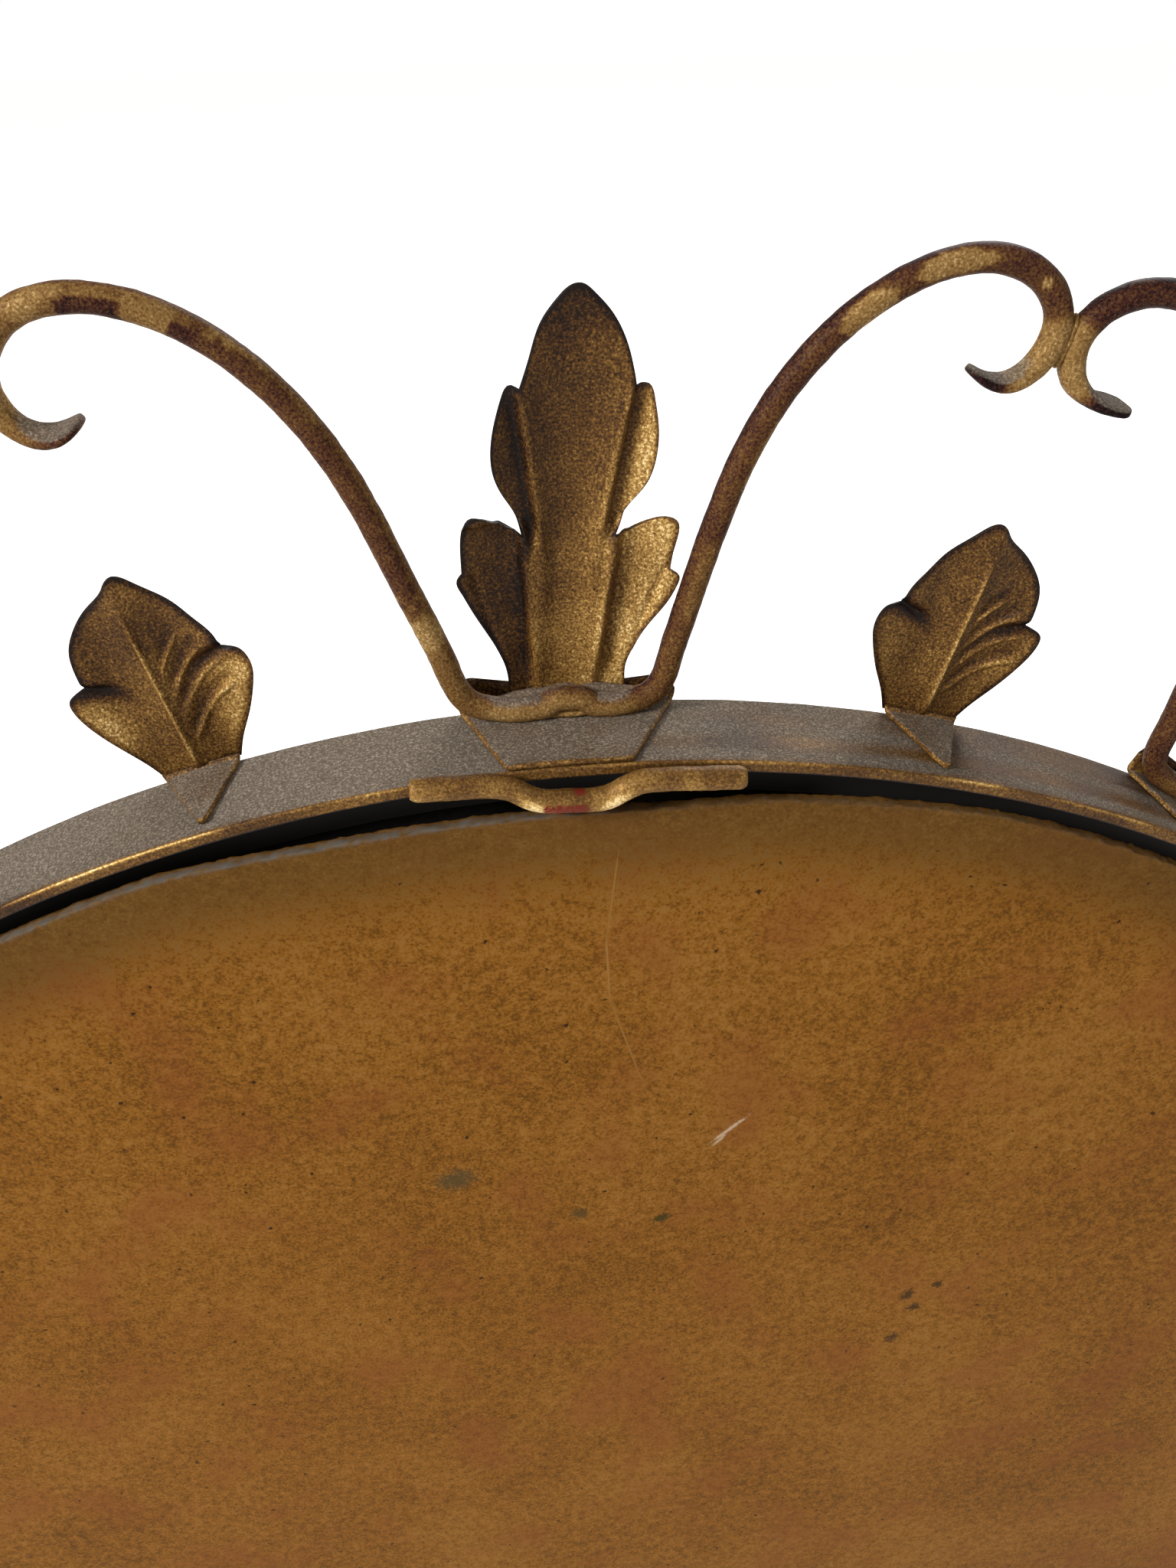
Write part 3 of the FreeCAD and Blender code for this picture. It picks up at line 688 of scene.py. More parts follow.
def paintPatch(tone, around, lengths, ragged, place, patch):
    # an oval or a brick of paint with ragged edges: the norm of the distances along and round the rod
    halfLength, centre, halfTurn, patchTone, square = patch
    offAlong = np.abs((lengths[:, None] - place) / halfLength)
    offAround = np.abs(toRightOf(around - centre))[None] / halfTurn
    norm = (offAlong ** square + offAround ** square) ** (1 / square)
    cover = 1 - ease(0.92, 1.08, norm + ragged)
    return tone * (1 - cover) + patchTone * cover


def scrollTone(unit, line, lengths):
    # The tone goes over from the left arm's to the right arm's and is darker along one side of the rod.
    # Patches, brush marks at the ends and gold on the foot come on top.
    random = np.random.default_rng(40 + unit)
    around = np.degrees(ringTurns(scroll["sides"]))
    leftTone, rightTone = {0: (0.5, 0.28), 1: (0.18, 0.26)}.get(unit, random.uniform(0.2, 0.42, 2))
    fromMiddle = lengths - lengths[-1] / 2
    goRight = ease(-25, 25, fromMiddle)
    base = leftTone + (rightTone - leftTone) * goRight
    lowArm = hump(fromMiddle, 45) * 0.12 * (goRight if unit == 0 else 1)
    tone = (base + lowArm)[:, None] - 0.24 * hump(around[None] + 8, 30)
    places = np.stack(np.broadcast_arrays(lengths[:, None], around[None] * scroll["rod"] / 115, 0.0), -1)
    ragged = 0.16 * ripple(places, 2.4, 66 + unit, 14)
    if unit == 0:
        patches = seenPatches
        line = turned(line, scroll["axis"])
    else:
        fromEnds = hiddenPatches["fromEnds"]
        spots = line[random.integers(fromEnds, len(line) - fromEnds, hiddenPatches["count"])]
        patches = [(spot[0], spot[1], random.uniform(3, 8), random.uniform(40, 110), random.uniform(35, 65),
                    random.choice([0.16, 0.6, 0.68]), random.choice([2, 5])) for spot in spots]
    for across, up, *patch in patches:
        place = lengths[np.argmin((line[:, 0] - across) ** 2 + (line[:, 1] - up) ** 2)]
        tone = paintPatch(tone, around, lengths, ragged, place, patch)
    # brush marks of bright powder where the filler was dressed, from the joint down to the ribbon
    toEnd = np.minimum(lengths, lengths[-1] - lengths)
    dressedFrom = np.where(fromMiddle < 0, 13, 6) if unit == 0 else 9
    dressed = (ease(dressedFrom, dressedFrom + 4, toEnd) * (1 - ease(23, 27, toEnd)))[:, None]
    ribbonTone = 0.25 * (1 - ease(6, 12, toEnd))[:, None]
    dressed = dressed * np.clip(1.15 + 2.2 * ragged, 0, 1)
    tone = (tone - ribbonTone) * (1 - dressed) + 0.64 * dressed
    footGold = (1 - ease(13, 21, np.abs(fromMiddle)))[:, None] * (0.22 * hump(around[None] - 100, 50) - 0.02)
    return tone + footGold


def makeScroll(unit):
    # Towards each end the rod thins and widens by a smooth step, and its tip closes as a quarter circle.
    line = scrollLine(unit)
    lengths = walked(line)
    toEnd = np.minimum(lengths, lengths[-1] - lengths)
    drawn = 1 - ease(0, scroll["ribbonLength"], toEnd)
    spread = 1 - ease(3, scroll["spreadLength"], toEnd)
    tip = np.sqrt(np.clip(1 - (1 - np.clip(toEnd / scroll["tipLength"], 0.002, 1)) ** 2, 0, 1))
    thin = (scroll["rod"] + (scroll["ribbonThickness"] - scroll["rod"]) * drawn) / 2 * tip ** 0.3
    vary = np.random.default_rng(500 + unit).uniform(-1.2, 1.2, 2)
    widths = [ribbonWidths.get((unit, side), scroll["ribbonWidth"] + change)
              for side, change in zip((-1, 1), vary)]
    width = np.where(lengths < lengths[-1] / 2, *widths)
    wide = (scroll["rod"] + (width - scroll["rod"]) * spread) / 2 * tip
    grid = rodSurface(line, thin, wide, scroll["sides"], drawn)
    tone = scrollTone(unit, line, lengths)
    # dust lies along the foot, except over its hump, and in the ribbons. Along each arm, about 52 mm from the
    # middle, it is partly dust and partly a painted highlight on the faces that look up
    fromMiddle = np.abs(lengths - lengths[-1] / 2)
    onFoot = (1 - ease(13, 24, fromMiddle)) * (1 - 0.35 * hump(line[:, 0] - footMiddle, 4.5))
    onRibbon = 1 - ease(15, 23, toEnd)
    dust = -1.4 + 1.27 * onFoot + 1.4 * onRibbon + 1.2 * hump(fromMiddle - 52, 20)
    place = unit * unitTurn + scroll["axis"]
    grid = turned(grid, place)
    middle = turned(line, place)[:, None]
    dent = scroll["dent"] * (ripple(grid, 7, 60) + 0.6 * ripple(grid, 2.4, 61))
    grid = middle + (grid - middle) * (1 + dent / (scroll["rod"] / 2))[..., None]
    surface = {"grid": grid, "layers": {"tone": tone, "dust": dust[:, None]}}
    makePiece("bentScroll_%02d" % (unit + 1), [surface], scrollPaint,
              "scroll_%02d" % (unit + 1))


for unit in range(units):
    makeScroll(unit)
print("scrolls made")


# Leaves: rays from a middle to the outline, first over the back skin, round the rim, then the front skin
leafFoot = hoopOuter + 1.4
leafSheet = 1.2
raySteps = 36
# The sheets stand upright, so that next to no dust lies on them
uprightDust = -1.5


def leafSurface(outline, middle, relief, lean):
    # the skin's depth is a relief worked out from across and up, and the sheet thins towards its rim
    ratio = 1 - (1 - np.linspace(0.02, 1, raySteps)) ** 1.2
    rim = np.array([0.75, 0.25, -0.25, -0.75])
    out = np.concatenate([ratio, np.ones(4), ratio[::-1]])
    side = np.concatenate([np.ones(raySteps), rim, -np.ones(raySteps)])
    length = np.linalg.norm(outline - middle, axis=1)
    ways = (outline - middle) / length[:, None]
    bulge = np.where(np.abs(side) < 1, 0.35 * np.sqrt(1 - np.minimum(np.abs(side), 1) ** 2), 0)
    flat = middle + (out[:, None] * length[None] + bulge[:, None])[..., None] * ways[None]
    fromRim = (1 - out)[:, None] * length[None]
    half = leafSheet / 2 * (0.6 + 0.4 * ease(0, 1.5, fromRim))
    depth = relief(flat[..., 0], flat[..., 1])
    across = flat[..., 0] + (flat[..., 1] - leafFoot) * np.tan(np.radians(lean))
    grid = np.stack([across, flat[..., 1], leafSheet / 2 + depth + side[:, None] * half], -1)
    return grid, flat, depth, fromRim


def sheetRipple(across, up, wavelength, seed):
    # the soft unevenness on a flat sheet, whatever its depth
    return ripple(np.stack([across, up, 0 * up], -1), wavelength, seed)


def outlineThrough(arcs, step):
    # each arc is a smooth curve through its points to the first of the next arc, and they meet in corners
    return np.vstack([splineThrough(arc + following[:1], step)[:-1]
                      for arc, following in zip(arcs, arcs[1:] + arcs[:1])])


tallLeaf = {"lean": 3.2, "middle": (-0.8, 350.0), "tabHalf": 24.0, "tabBackHalf": 13.0, "tabDepth": 24.9,
            "tabSkew": -1.7, "step": 0.8, "deepest": 1.1}
# Outline of the tall leaf, up its right side to the tip and down its left side, before it leans
tallArcs = [[(12.0, 316.5), (12.4, 321.0), (12.3, 325.0), (13.3, 329.0), (16.1, 334.9), (19.8, 340.2),
             (21.8, 344.1), (22.2, 346.6)],
            [(20.3, 347.9), (20.5, 351.3), (21.2, 355.3), (20.9, 358.6), (17.0, 359.0), (13.2, 356.9)],
            [(8.3, 356.2), (10.4, 361.0), (14.3, 367.0), (15.7, 372.7), (15.7, 378.4), (14.8, 383.6),
             (13.3, 386.8)],
            [(11.1, 386.5), (10.1, 390.7), (8.3, 396.0), (5.3, 400.9), (2.3, 404.0), (-0.1, 405.6),
             (-1.8, 405.4), (-4.4, 403.3), (-7.6, 399.0), (-9.6, 392.7)],
            [(-11.4, 387.2), (-13.3, 387.8), (-14.8, 385.1), (-16.2, 380.0), (-16.8, 374.7), (-16.3, 370.5),
             (-14.5, 366.0), (-11.8, 361.3)],
            [(-10.4, 357.2), (-14.1, 358.8), (-17.9, 361.6), (-21.1, 362.3), (-22.5, 359.5), (-22.8, 354.7)],
            [(-22.6, 350.0), (-23.5, 349.0), (-22.7, 345.5), (-20.7, 341.6), (-17.6, 336.0), (-14.8, 330.5),
             (-13.2, 325.5), (-12.8, 321.0)],
            [(-12.9, 316.5)]]


def pressed(depth):
    # The dies press the sheet forwards only so far: past a depth it levels off with a hyperbolic tangent.
    soft = 0.4
    knee = -tallLeaf["deepest"] + soft
    return np.where(depth < knee, knee + soft * np.tanh((depth - knee) / soft), depth)


def tallRelief(across, up):
    # Two pairs of pressed ridges climb from the foot, the outer one to the waist and the inner one to the
    # shoulder. Between them lies a hollow panel. Past each ridge the sheet drops quickly, and then rises
    # through the lobe to its rim.
    x = np.abs(across + 0.6)
    fade = ease(315, 332, up)

    def profile(ridge, drop, edge, panelDepth, crest, hollow, rim):
        inside = panelDepth + (crest - panelDepth) * np.clip(x / ridge, 0, 1) ** 2.2
        fall = crest + (hollow - crest) * ease(0, 1, (x - ridge) / drop)
        rise = hollow + (rim - hollow) * np.clip((x - ridge - drop) / (edge - ridge - drop), 0, 1.3) ** 1.5
        return np.where(x < ridge, inside, np.where(x < ridge + drop, fall, rise))

    lowRidge = np.interp(up, [318, 351, 360], [5.3, 9.0, 9.6])
    lowEdge = np.interp(up, [318, 330, 345, 360], [12.4, 14.5, 22.5, 21.5])
    low = profile(lowRidge, 2.2, lowEdge, -0.1 - 1.2 * fade, 0.4 + 0.9 * fade, -0.1 - 1.5 * fade,
                  0.3 + 1.1 * fade)
    innerRidge = np.interp(up, [330, 357, 388], [4.4, 6.0, 10.9])
    low = low + 0.8 * hump(x - innerRidge, 1.3) * ease(332, 352, up) * (x < lowRidge)
    high = profile(innerRidge, 1.9, np.full_like(x, 16.6), -1.3, 1.25, -1.2, 1.6)
    waist = ease(7.5, 10.5, x)
    border = 357 + 3.2 * waist
    soft = 5 - 4.4 * waist
    isHigh = ease(border - soft, border + soft, up)
    creaseLine = np.interp(up, [326, 349.5], [12.5, 20.6])
    crease = -0.8 * hump(x - creaseLine, 0.8) * ease(326, 338, up) * (1 - ease(348, 350, up))
    leaf = low * (1 - isHigh) + high * isHigh + crease
    tipShape = -0.5 + 0.012 * x ** 2
    atTip = ease(383, 392, up)
    uneven = 0.12 * sheetRipple(across, up, 9, 70)
    return pressed(0.4 + leaf * (1 - atTip) + tipShape * atTip + uneven)


def tallTone(across, up, depth, fromRim, unit):
    # The panel runs from gold at the foot to umber at the tip. Panel and lobes are painted lighter on one
    # side and darker on the other: painted light and shade, as from a lamp on that side. Hollows and rims
    # stay dark, and the ridge crests carry a painted highlight.
    random = np.random.default_rng(700 + unit)
    bright, litSideSign = (1.0, 1.0) if unit == 0 else (random.uniform(0.4, 1.0), random.choice([-1.0, 1.0]))
    panel = np.interp(up, [317, 335, 362, 386, 393, 405], [0.58, 0.55, 0.41, 0.3, 0.34, 0.16])
    ridge = np.interp(up, [318, 351, 360, 388], [5.3, 8.0, 6.2, 10.9])
    lobes = ease(0, 2.5, np.abs(across + 0.6) - ridge - 0.6) * (1 - ease(386, 390, up))
    side = np.tanh(across / 3) * litSideSign
    lobe = 0.44 + 0.23 * bright * side + 0.1 * ease(-1, 1, depth)
    panelLitSide = 0.07 * np.tanh(across / 5) * litSideSign
    mix = panel + panelLitSide * (1 - lobes) + lobes * (lobe - panel)
    fromRidge = np.abs(across + 0.6) - ridge
    # a painted highlight along each ridge crest, and darker wash in the drop beyond it
    crestHighlightAndWash = (0.16 * hump(fromRidge, 0.8) - 0.26 * hump(fromRidge - 2.2, 1.4)) * ease(320, 332, up)
    crestHighlightAndWash = crestHighlightAndWash * (1 - ease(384, 390, up))
    patchy = 0.05 * ripple(np.stack([across, up, depth], -1), 14, 71 + unit)
    return mix + crestHighlightAndWash - 0.4 * hump(fromRim, 0.7) + patchy


# Tabs: the radius of their fold, rows up the lip, round the fold and along the hoop, and places across
tabMake = {"fold": 1.4, "lipRows": 6, "foldRows": 6, "flatRows": 24, "across": 49}


def tabSurface(half, backHalf, depth, lip, skew=0.0):
    # Sheet section carried from the lip's top down round the fold and back along the hoop. The sheet is a
    # thin rounded bar as wide as the tab is there, and the lip's height changes across it.
    fold, lipRows, foldRows, flatRows, places = tabMake.values()
    angle = np.linspace(0, np.pi / 2, foldRows + 1)[1:]
    lipShare = np.concatenate([np.linspace(1, 0, lipRows), np.zeros(foldRows + flatRows)])
    curve = np.concatenate([np.full(lipRows, fold), fold - fold * np.sin(angle), np.zeros(flatRows)])
    flat = np.linspace(fold, depth - leafSheet / 2, flatRows + 1)[1:]
    back = np.concatenate([np.zeros(lipRows), fold - fold * np.cos(angle), flat])
    slope = np.stack([np.gradient(lipShare * 6 + curve), np.gradient(back)], -1)
    slope /= np.linalg.norm(slope, axis=1, keepdims=True)
    normal = np.stack([slope[:, 1], -slope[:, 0]], -1)
    share = np.linspace(-1, 1, places)
    top = np.ones(places)
    section = np.concatenate([np.stack([share, top], -1), np.stack([share[::-1], -top], -1)])
    width = half + (backHalf - half) * np.clip(back / depth, 0, 1)
    across = section[None, :, 0] * width[:, None] + skew * (back / depth)[:, None]
    thick = section[None, :, 1] * leafSheet / 2 * np.where(np.abs(section[None, :, 0]) > 0.99, 0.5, 1.0)
    height = curve[:, None] + lipShare[:, None] * np.maximum(lip(across) - fold, 0)
    lifted = 0.35 * ease(depth - 3, depth, back)[:, None]
    radius = hoopOuter + 0.15 + leafSheet / 2 + height + lifted + normal[:, None, 0] * thick
    depthBack = leafSheet / 2 + back[:, None] + normal[:, None, 1] * thick
    grid = polar(radius, np.degrees(across / hoopOuter), depthBack)
    grid[..., 2] += 0.08 * ripple(grid, 6, 72)
    # its edges are rubbed bare of dust in places
    edges = hump(1 - np.abs(section[None, :, 0]), 0.03) + hump(depth - back[:, None], 1.0)
    edges = np.clip(edges, 0, 1) * np.clip(0.45 + 1.6 * ripple(grid, 4, 73), 0, 1)
    tone = 0.42 + 0.16 * edges - 0.2 * lipShare[:, None]
    dust = -0.3 - 0.5 * edges - 0.9 * lipShare[:, None]
    return {"grid": grid, "layers": {"tone": tone, "dust": dust}}


def tallLip(across):
    # height of the lip above the hoop: it rises outwards to clipped corners, and is tilted with the leaf
    fromMiddle = [0, 12.5, 15, 18, 20.5, 22.6, 24]
    nominal = np.interp(np.abs(across), fromMiddle, [3.8, 3.2, 3.9, 6.0, 7.2, 6.2, 3.9])
    return nominal - across * np.tan(np.radians(tallLeaf["lean"]))


tallOutline = outlineThrough(tallArcs, tallLeaf["step"])
tallGrid, tallFlat, tallDepth, tallFromRim = leafSurface(
    tallOutline, np.array(tallLeaf["middle"]), tallRelief, tallLeaf["lean"])
tallTab = tabSurface(tallLeaf["tabHalf"], tallLeaf["tabBackHalf"], tallLeaf["tabDepth"], tallLip,
                     tallLeaf["tabSkew"])

smallLeaf = {"lean": 1.5, "middle": (0.0, 338.0), "tabHalf": 9.0, "tabTipHalf": 0.4, "tabDepth": 21.7,
             "lip": 1.4, "creaseUp": 337.0, "creaseSlope": 0.42, "step": 0.6}
# How the two small leaves in view stand: lean, turn from their place, how far the tab's point is pushed over,
# and which way round the outline is
smallStands = {11: (1.9, 0.07, 2.6, 1), 0: (0.4, 0.03, -0.6, -1)}
# Outline of the small leaf, up its full side, over the tip that leans to that side, and down its narrow side
smallArcs = [[(9.0, 316.5), (11.5, 321.3), (15.0, 326.5), (19.2, 334.0), (20.6, 338.8), (19.4, 342.4)],
             [(15.7, 343.3), (15.6, 346.5), (13.2, 350.7), (10.5, 355.2), (6.9, 359.2), (4.6, 362.0),
              (3.0, 363.8), (1.5, 364.5), (0.1, 364.0), (-1.5, 362.4), (-3.7, 360.8), (-6.9, 359.0),
              (-11.0, 355.6), (-13.8, 351.2), (-14.4, 346.5)],
             [(-14.6, 343.0), (-18.2, 341.8), (-18.5, 338.8), (-17.4, 334.7), (-13.9, 327.1), (-10.9, 321.4)],
             [(-8.9, 316.5)]]
# Foot of each side vein on the midrib, and how far out it reaches
smallVeins = [(320.5, 16.5), (327.0, 16.0), (332.3, 13.0), (338.5, 9.0)]


def eachVein(x, up):
    # for each side vein, how far a place lies above its curve, and 1 along it, fading at both its ends
    for foot, reach in smallVeins:
        above = up - (foot + 1.55 * x - 0.04 * x ** 2)
        yield above, ease(1.5, 4.0, x) * (1 - ease(reach - 2.5, reach, x))


def smallRelief(across, up):
    # A fine midrib, side veins that curve out to the rim with a hollow above each, lobes hollowed on either
    # side, and a deep crease that runs in from each notch.
    x = np.abs(across)
    crisp = 0.3 + 0.7 * ease(-2, 2, across)
    midrib = 0.9 * hump(x, 0.6) * ease(317, 321, up) * (1 - ease(352, 359, up)) + 0.35 * hump(x, 2.2)
    bowl = -1.2 * hump(x - 7.5, 5.0) + 0.011 * np.clip(x - 8, 0, 20) ** 2
    veins = 0
    for above, along in eachVein(x, up):
        veins = veins + (0.75 * hump(above, 0.7) - 0.5 * hump(above - 2.2, 1.5)) * along * crisp
    fromCrease = up - (smallLeaf["creaseUp"] + smallLeaf["creaseSlope"] * x)
    crease = -1.1 * hump(fromCrease, 1.0) * ease(7, 12, x)
    overlap = 0.5 * ease(-0.4, 0.6, fromCrease) * hump(up - 340 - 0.4 * x, 4.0) * ease(7, 12, x)
    uneven = 0.15 * sheetRipple(across, up, 12, 77)
    return pressed(0.3 + midrib + bowl + veins + crease + overlap + uneven)


def smallTone(across, up, fromRim, unit):
    random = np.random.default_rng(900 + unit)
    x = np.abs(across)
    upper = ease(338, 350, up)
    lowLobe = ease(6, 14, x) * (1 - ease(338, 344, up))
    bright = {11: 0.3, 0: 0.1}.get(unit, random.uniform(0.05, 0.18))
    tone = 0.43 + bright * lowLobe - 0.05 * upper
    fullSide = 0.2 + 0.8 * (across > 0)
    # each side vein's crest gets a painted highlight and the hollow above it darker wash, most on the full
    # side
    for above, along in eachVein(x, up):
        tone = tone + (0.2 * hump(above, 0.6) - 0.16 * hump(above - 2.2, 1.5)) * along * fullSide
    # wash has run together in the fold below each notch, most of it on the left
    pocketDepth = 0.2 + 0.3 * (across < 0)
    pocketLine = smallLeaf["creaseUp"] - 0.5 + smallLeaf["creaseSlope"] * x
    pocket = -pocketDepth * hump(up - pocketLine, 2.2) * ease(5, 11, x)
    # a painted highlight along the midrib's crest
    midrib = 0.3 * hump(x, 0.55) * ease(318, 321, up) * (1 - ease(350, 358, up))
    patchy = 0.06 * sheetRipple(across, up, 10, 171 + unit)
    return tone + pocket + midrib + patchy - 0.38 * hump(fromRim, 0.9)


def smallLip(across):
    # one low height all across
    return np.full_like(across, smallLeaf["lip"])


smallOutline = outlineThrough(smallArcs, smallLeaf["step"])


def makeTallLeaf(unit):
    # blade and tab in one piece, turned to the unit's place
    turn = unit * unitTurn
    tone = tallTone(tallFlat[..., 0], tallFlat[..., 1], tallDepth, tallFromRim, unit)
    blade = {"grid": turned(tallGrid, turn), "layers": {"tone": tone, "dust": uprightDust}}
    tab = {**tallTab, "grid": turned(tallTab["grid"], turn)}
    makePiece("tallLeaf_%02d" % (unit + 1), [blade, tab], leafPaint,
              "tall_leaf_%02d" % (unit + 1))


def makeSmallLeaf(unit):
    # every third leaf out of view is the other way round, and dust has settled at the foot of each
    usualStand = (smallLeaf["lean"], 0.0, 0.0, 1 - 2 * (unit % 3 == 1))
    lean, shift, skew, hand = smallStands.get(unit, usualStand)
    turn = (unit + 0.5) * unitTurn + shift
    grid, flat, depth, fromRim = leafSurface(smallOutline * [hand, 1], np.array(smallLeaf["middle"]),
                                             smallRelief, lean)
    tone = smallTone(flat[..., 0], flat[..., 1], fromRim, unit)
    settled = uprightDust + 1.75 * (1 - ease(316.5, 322, flat[..., 1]))
    blade = {"grid": turned(grid, turn), "layers": {"tone": tone, "dust": settled}}
    tab = tabSurface(smallLeaf["tabHalf"], smallLeaf["tabTipHalf"], smallLeaf["tabDepth"], smallLip, skew)
    makePiece("smallLeaf_%02d" % (unit + 1), [blade, {**tab, "grid": turned(tab["grid"], turn)}], leafPaint,
              "small_leaf_%02d" % (unit + 1))


for unit in range(units):
    makeTallLeaf(unit)
    makeSmallLeaf(unit)
print("leaves made")


# Hanger: a round rod along the dipped line, with blunt cut ends
hanger = {"diameter": 5.4, "drop": 2.2, "middle": -1.5, "lean": 2.6, "back": 27.9, "sides": 28, "step": 0.7,
          "dent": 0.13, "smallDent": 0.05, "nominalHalf": 3.0}
# The dipped line: across from the dip's middle, and height above the straight runs
hangerRun = [(-33.5, 0.0), (-24.0, 0.1), (-17.5, 0.2), (-13.8, -0.3), (-10.8, -1.9), (-7.8, -3.6),
             (-4.2, -4.3), (0.0, -4.3), (4.2, -4.3), (7.8, -3.6), (10.8, -1.9), (13.8, -0.3), (17.5, 0.2),
             (25.0, 0.1), (36.5, 0.0)]


def makeHanger():
    # the dipped line turned about the hoop's top, with a rod round it whose ends are rounded a little
    height = hoopOuter - hanger["drop"]
    lean = np.radians(hanger["lean"])
    run = np.array(hangerRun) + [hanger["middle"], 0]
    across = run[:, 0] * np.cos(lean) + run[:, 1] * np.sin(lean)
    up = height + run[:, 1] * np.cos(lean) - run[:, 0] * np.sin(lean)
    path = splineThrough(np.stack([across, up, np.full(len(run), hanger["back"])], -1), hanger["step"])
    lengths = walked(path)
    ends = np.minimum(lengths, lengths[-1] - lengths)
    half = hanger["diameter"] / 2 * (0.78 + 0.22 * ease(0, 1.1, ends))
    grid = rodSurface(path, half, half, hanger["sides"])
    dent = hanger["dent"] * ripple(grid, 6, 81) + hanger["smallDent"] * ripple(grid, 1.6, 82)
    centre = path[:, None]
    grid = centre + (grid - centre) * (1 + (dent - hanger["dent"]) / hanger["nominalHalf"])[..., None]
    under = np.clip(-(grid - centre)[..., 1] / hanger["nominalHalf"], -1, 1)
    # a hook has rubbed the dip down to the primer below and at its top, and its slopes to bright powder.
    # The slopes' brightness, most on their undersides, is partly this wear and partly a painted highlight
    fromMiddle = grid[..., 0] - hanger["middle"]
    dip = 1 - ease(4, 6.5, np.abs(fromMiddle + 1.6))
    slopeWearAndHighlight = hump(np.abs(fromMiddle) - 8.5, 3.2) * (0.14 + 0.34 * ease(-0.5, 0, under))
    tone = 0.52 + 0.08 * under + slopeWearAndHighlight + 0.1 * ripple(grid, 8, 83) + 0.12 * hump(ends[:, None], 3)
    wear = 0.72 * ease(-0.4, -0.1, under) * dip
    wear = wear + 0.72 * ease(0.62, 0.7, -under) * hump(fromMiddle - 1.3, 2.2)
    surface = {"grid": grid, "layers": {"tone": tone, "wear": wear, "dust": -0.75}}
    makePiece("hangerRod", [surface], hangerPaint, "hanger_rod")


makeHanger()
print("hanger made")


# Brazing: lumpy beads of filler where pieces meet
brazing = {"sides": 14, "lumps": 0.22, "lumpLength": 5, "jointPlaces": 18, "footPlaces": 46}
# Half thickness, half width, seed of the lumps, tone and dust of the beads at joint, foot and tab
beadKinds = [(1.0, 2.2, 90, 0.6, -1.4), (0.9, 1.4, 91, 0.6, -0.6), (1.6, 2.2, 92, 0.4, 0.2)]


def beadSurface(path, half, wide, seed):
    # a round section carried along the bead's line, swelling and shrinking as the filler ran
    ends = np.sin(np.linspace(0.03, np.pi - 0.03, len(path))) ** 0.5
    grid = rodSurface(path, half * ends, wide * ends, brazing["sides"])
    swell = 1 + brazing["lumps"] * ripple(grid, brazing["lumpLength"], seed)
    return path[:, None] + (grid - path[:, None]) * swell[..., None]


jointHeights = footRadius + np.linspace(scroll["jointLow"], scroll["jointHigh"], brazing["jointPlaces"])
footBead = polar(footRadius - 1.7, np.linspace(-3.2, 3.1, brazing["footPlaces"]), scroll["back"] + 1.6)
fillBead = polar(footRadius + 0.4, np.linspace(-3.0, 3.0, brazing["footPlaces"]), 3.0)
for unit in range(units):
    jointTurn = unitTurn / 2 + scroll["axis"] + jointShifts.get(unit, 0.0)
    jointBead = polar(jointHeights, jointTurn, scroll["back"])
    surfaces = []
    for path, (half, wide, seed, tone, dust) in zip((jointBead, footBead, fillBead), beadKinds):
        grid = turned(beadSurface(path, half, wide, seed), unit * unitTurn)
        surfaces.append({"grid": grid, "layers": {"tone": tone, "dust": dust}})
    makePiece("brazing_%02d" % (unit + 1), surfaces, scrollPaint)
print("brazing made")


# Pieces that keep their CAD shape
def dress(node, material):
    # one material on all of a node's faces
    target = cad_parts[node]
    target.data.materials.clear()
    target.data.materials.append(material)


dress("mirror_glass", silveredGlass)
dress("packing_card", shadeStrawboard)
for clip in range(4):
    dress("back_clip_%d" % (clip + 1), clipSteel)
print("plain pieces dressed")


# Floor, light and camera
studio = {"floorSize": 14.0, "floorDrop": 0.002, "floorColour": "#f4f3f1", "floorGlow": 0.72,
          "worldDiffuse": 0.3}
# Place and aim in metres, diameter and watts of each lamp. The key lamp stands above and to the left as seen
# from behind, which is where the photograph's light is from.
lamps = {"keyLamp": ((1.5, 0.9, 1.1), (0, 0, 0), 0.6, 50),
         "fillLamp": ((-1.8, 1.6, 0.9), (0, 0, -0.1), 1.6, 8),
         "frontLamp": ((-1.2, -2.4, 1.6), (0, 0, -0.3), 1.8, 60)}


def seenDirectly(tree):
    # 1 for rays from the camera, from glossy surfaces or through glass, and otherwise 0
    path = addNode(tree, "LightPath")
    seen = addNode(tree, "Math", {"operation": "MAXIMUM", 0: (path, "Is Camera Ray"),
                                  1: (path, "Is Glossy Ray")})
    return addNode(tree, "Math", {"operation": "MAXIMUM", 0: seen, 1: (path, "Is Transmission Ray")})


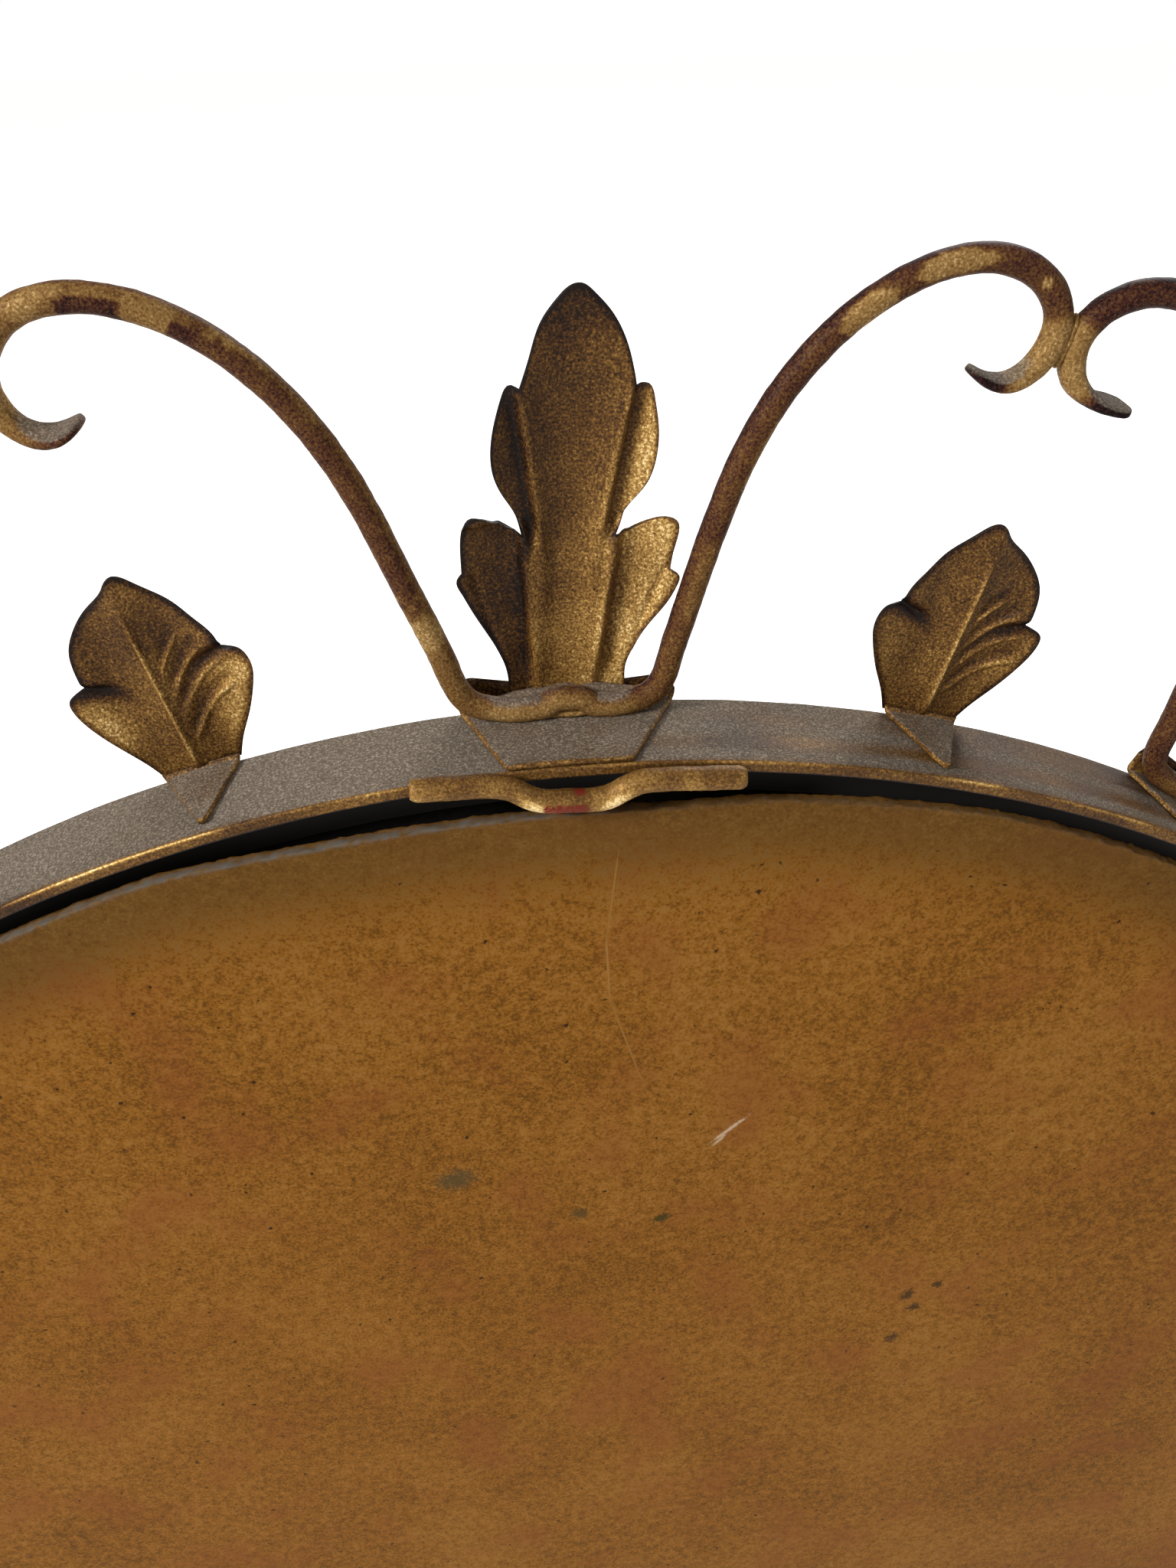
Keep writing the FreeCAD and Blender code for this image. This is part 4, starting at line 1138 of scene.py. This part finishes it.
def makeFloor():
    # Matt white paper, which glows a little to the camera and in reflections so that it stays white
    half = studio["floorSize"] / 2
    height = cadBox[0][2] - studio["floorDrop"]
    mesh = bpy.data.meshes.new("floor")
    mesh.from_pydata([(x * half, y * half, height) for x, y in ((-1, -1), (1, -1), (1, 1), (-1, 1))], [],
                     [(0, 1, 2, 3)])
    floor = bpy.data.objects.new("floor", mesh)
    bpy.context.collection.objects.link(floor)
    material, tree = newMaterial("paperFloor")
    glow = addNode(tree, "Math", {"operation": "MULTIPLY", 0: seenDirectly(tree), 1: studio["floorGlow"]})
    paper = addNode(tree, "BsdfDiffuse", {"Color": colour(studio["floorColour"])})
    light = addNode(tree, "Emission", {"Strength": glow})
    finishMaterial(tree, addNode(tree, "AddShader", {0: paper, 1: light}))
    mesh.materials.append(material)


def makeWorld():
    # white to the camera and in reflections, and a dimmer, even light on everything else
    world = bpy.data.worlds.new("studio")
    bpy.context.scene.world = world
    world.use_nodes = True
    tree = world.node_tree
    tree.nodes.clear()
    strength = addNode(tree, "MapRange",
                       {"To Min": studio["worldDiffuse"], "To Max": 1.0, "Value": seenDirectly(tree)})
    background = addNode(tree, "Background", {"Color": (1, 1, 1, 1), "Strength": strength})
    addNode(tree, "OutputWorld", {"Surface": background})


def addLamp(name, place, aim, size, watts):
    # a round area lamp turned to its aim
    lamp = bpy.data.lights.new(name, "AREA")
    lamp.shape = "DISK"
    lamp.size = size
    lamp.energy = watts
    holder = bpy.data.objects.new(name, lamp)
    holder.location = place
    holder.rotation_euler = (Vector(aim) - Vector(place)).to_track_quat("-Z", "Y").to_euler()
    bpy.context.collection.objects.link(holder)


makeFloor()
makeWorld()
for name, settings in lamps.items():
    addLamp(name, *settings)

# Camera place and look in millimetres and degrees from the hanger's eye, found from the hoop's own curve
photoView = {"place": (20.2, 213.85, 164.95), "look": (-0.08113, -0.80567, -0.58678), "roll": -1.0154,
             "focalPixels": 1700.0, "framePixels": 2048.0, "sensor": 36.0}
camera = bpy.data.cameras.new("camera")
camera.sensor_width = photoView["sensor"]
camera.lens = photoView["focalPixels"] / photoView["framePixels"] * photoView["sensor"]
camera.clip_start = 0.01
camera.clip_end = 50
cameraHolder = bpy.data.objects.new("camera", camera)
turn = Vector(photoView["look"]).to_track_quat("-Z", "Y").to_matrix()
turn = turn @ Matrix.Rotation(np.radians(photoView["roll"]), 3, "Z")
cameraHolder.matrix_world = Matrix.Translation(Vector(photoView["place"]) * mm) @ turn.to_4x4()
bpy.context.collection.objects.link(cameraHolder)
bpy.context.scene.camera = cameraHolder
bpy.context.scene.view_settings.view_transform = "Standard"
print("stage set")
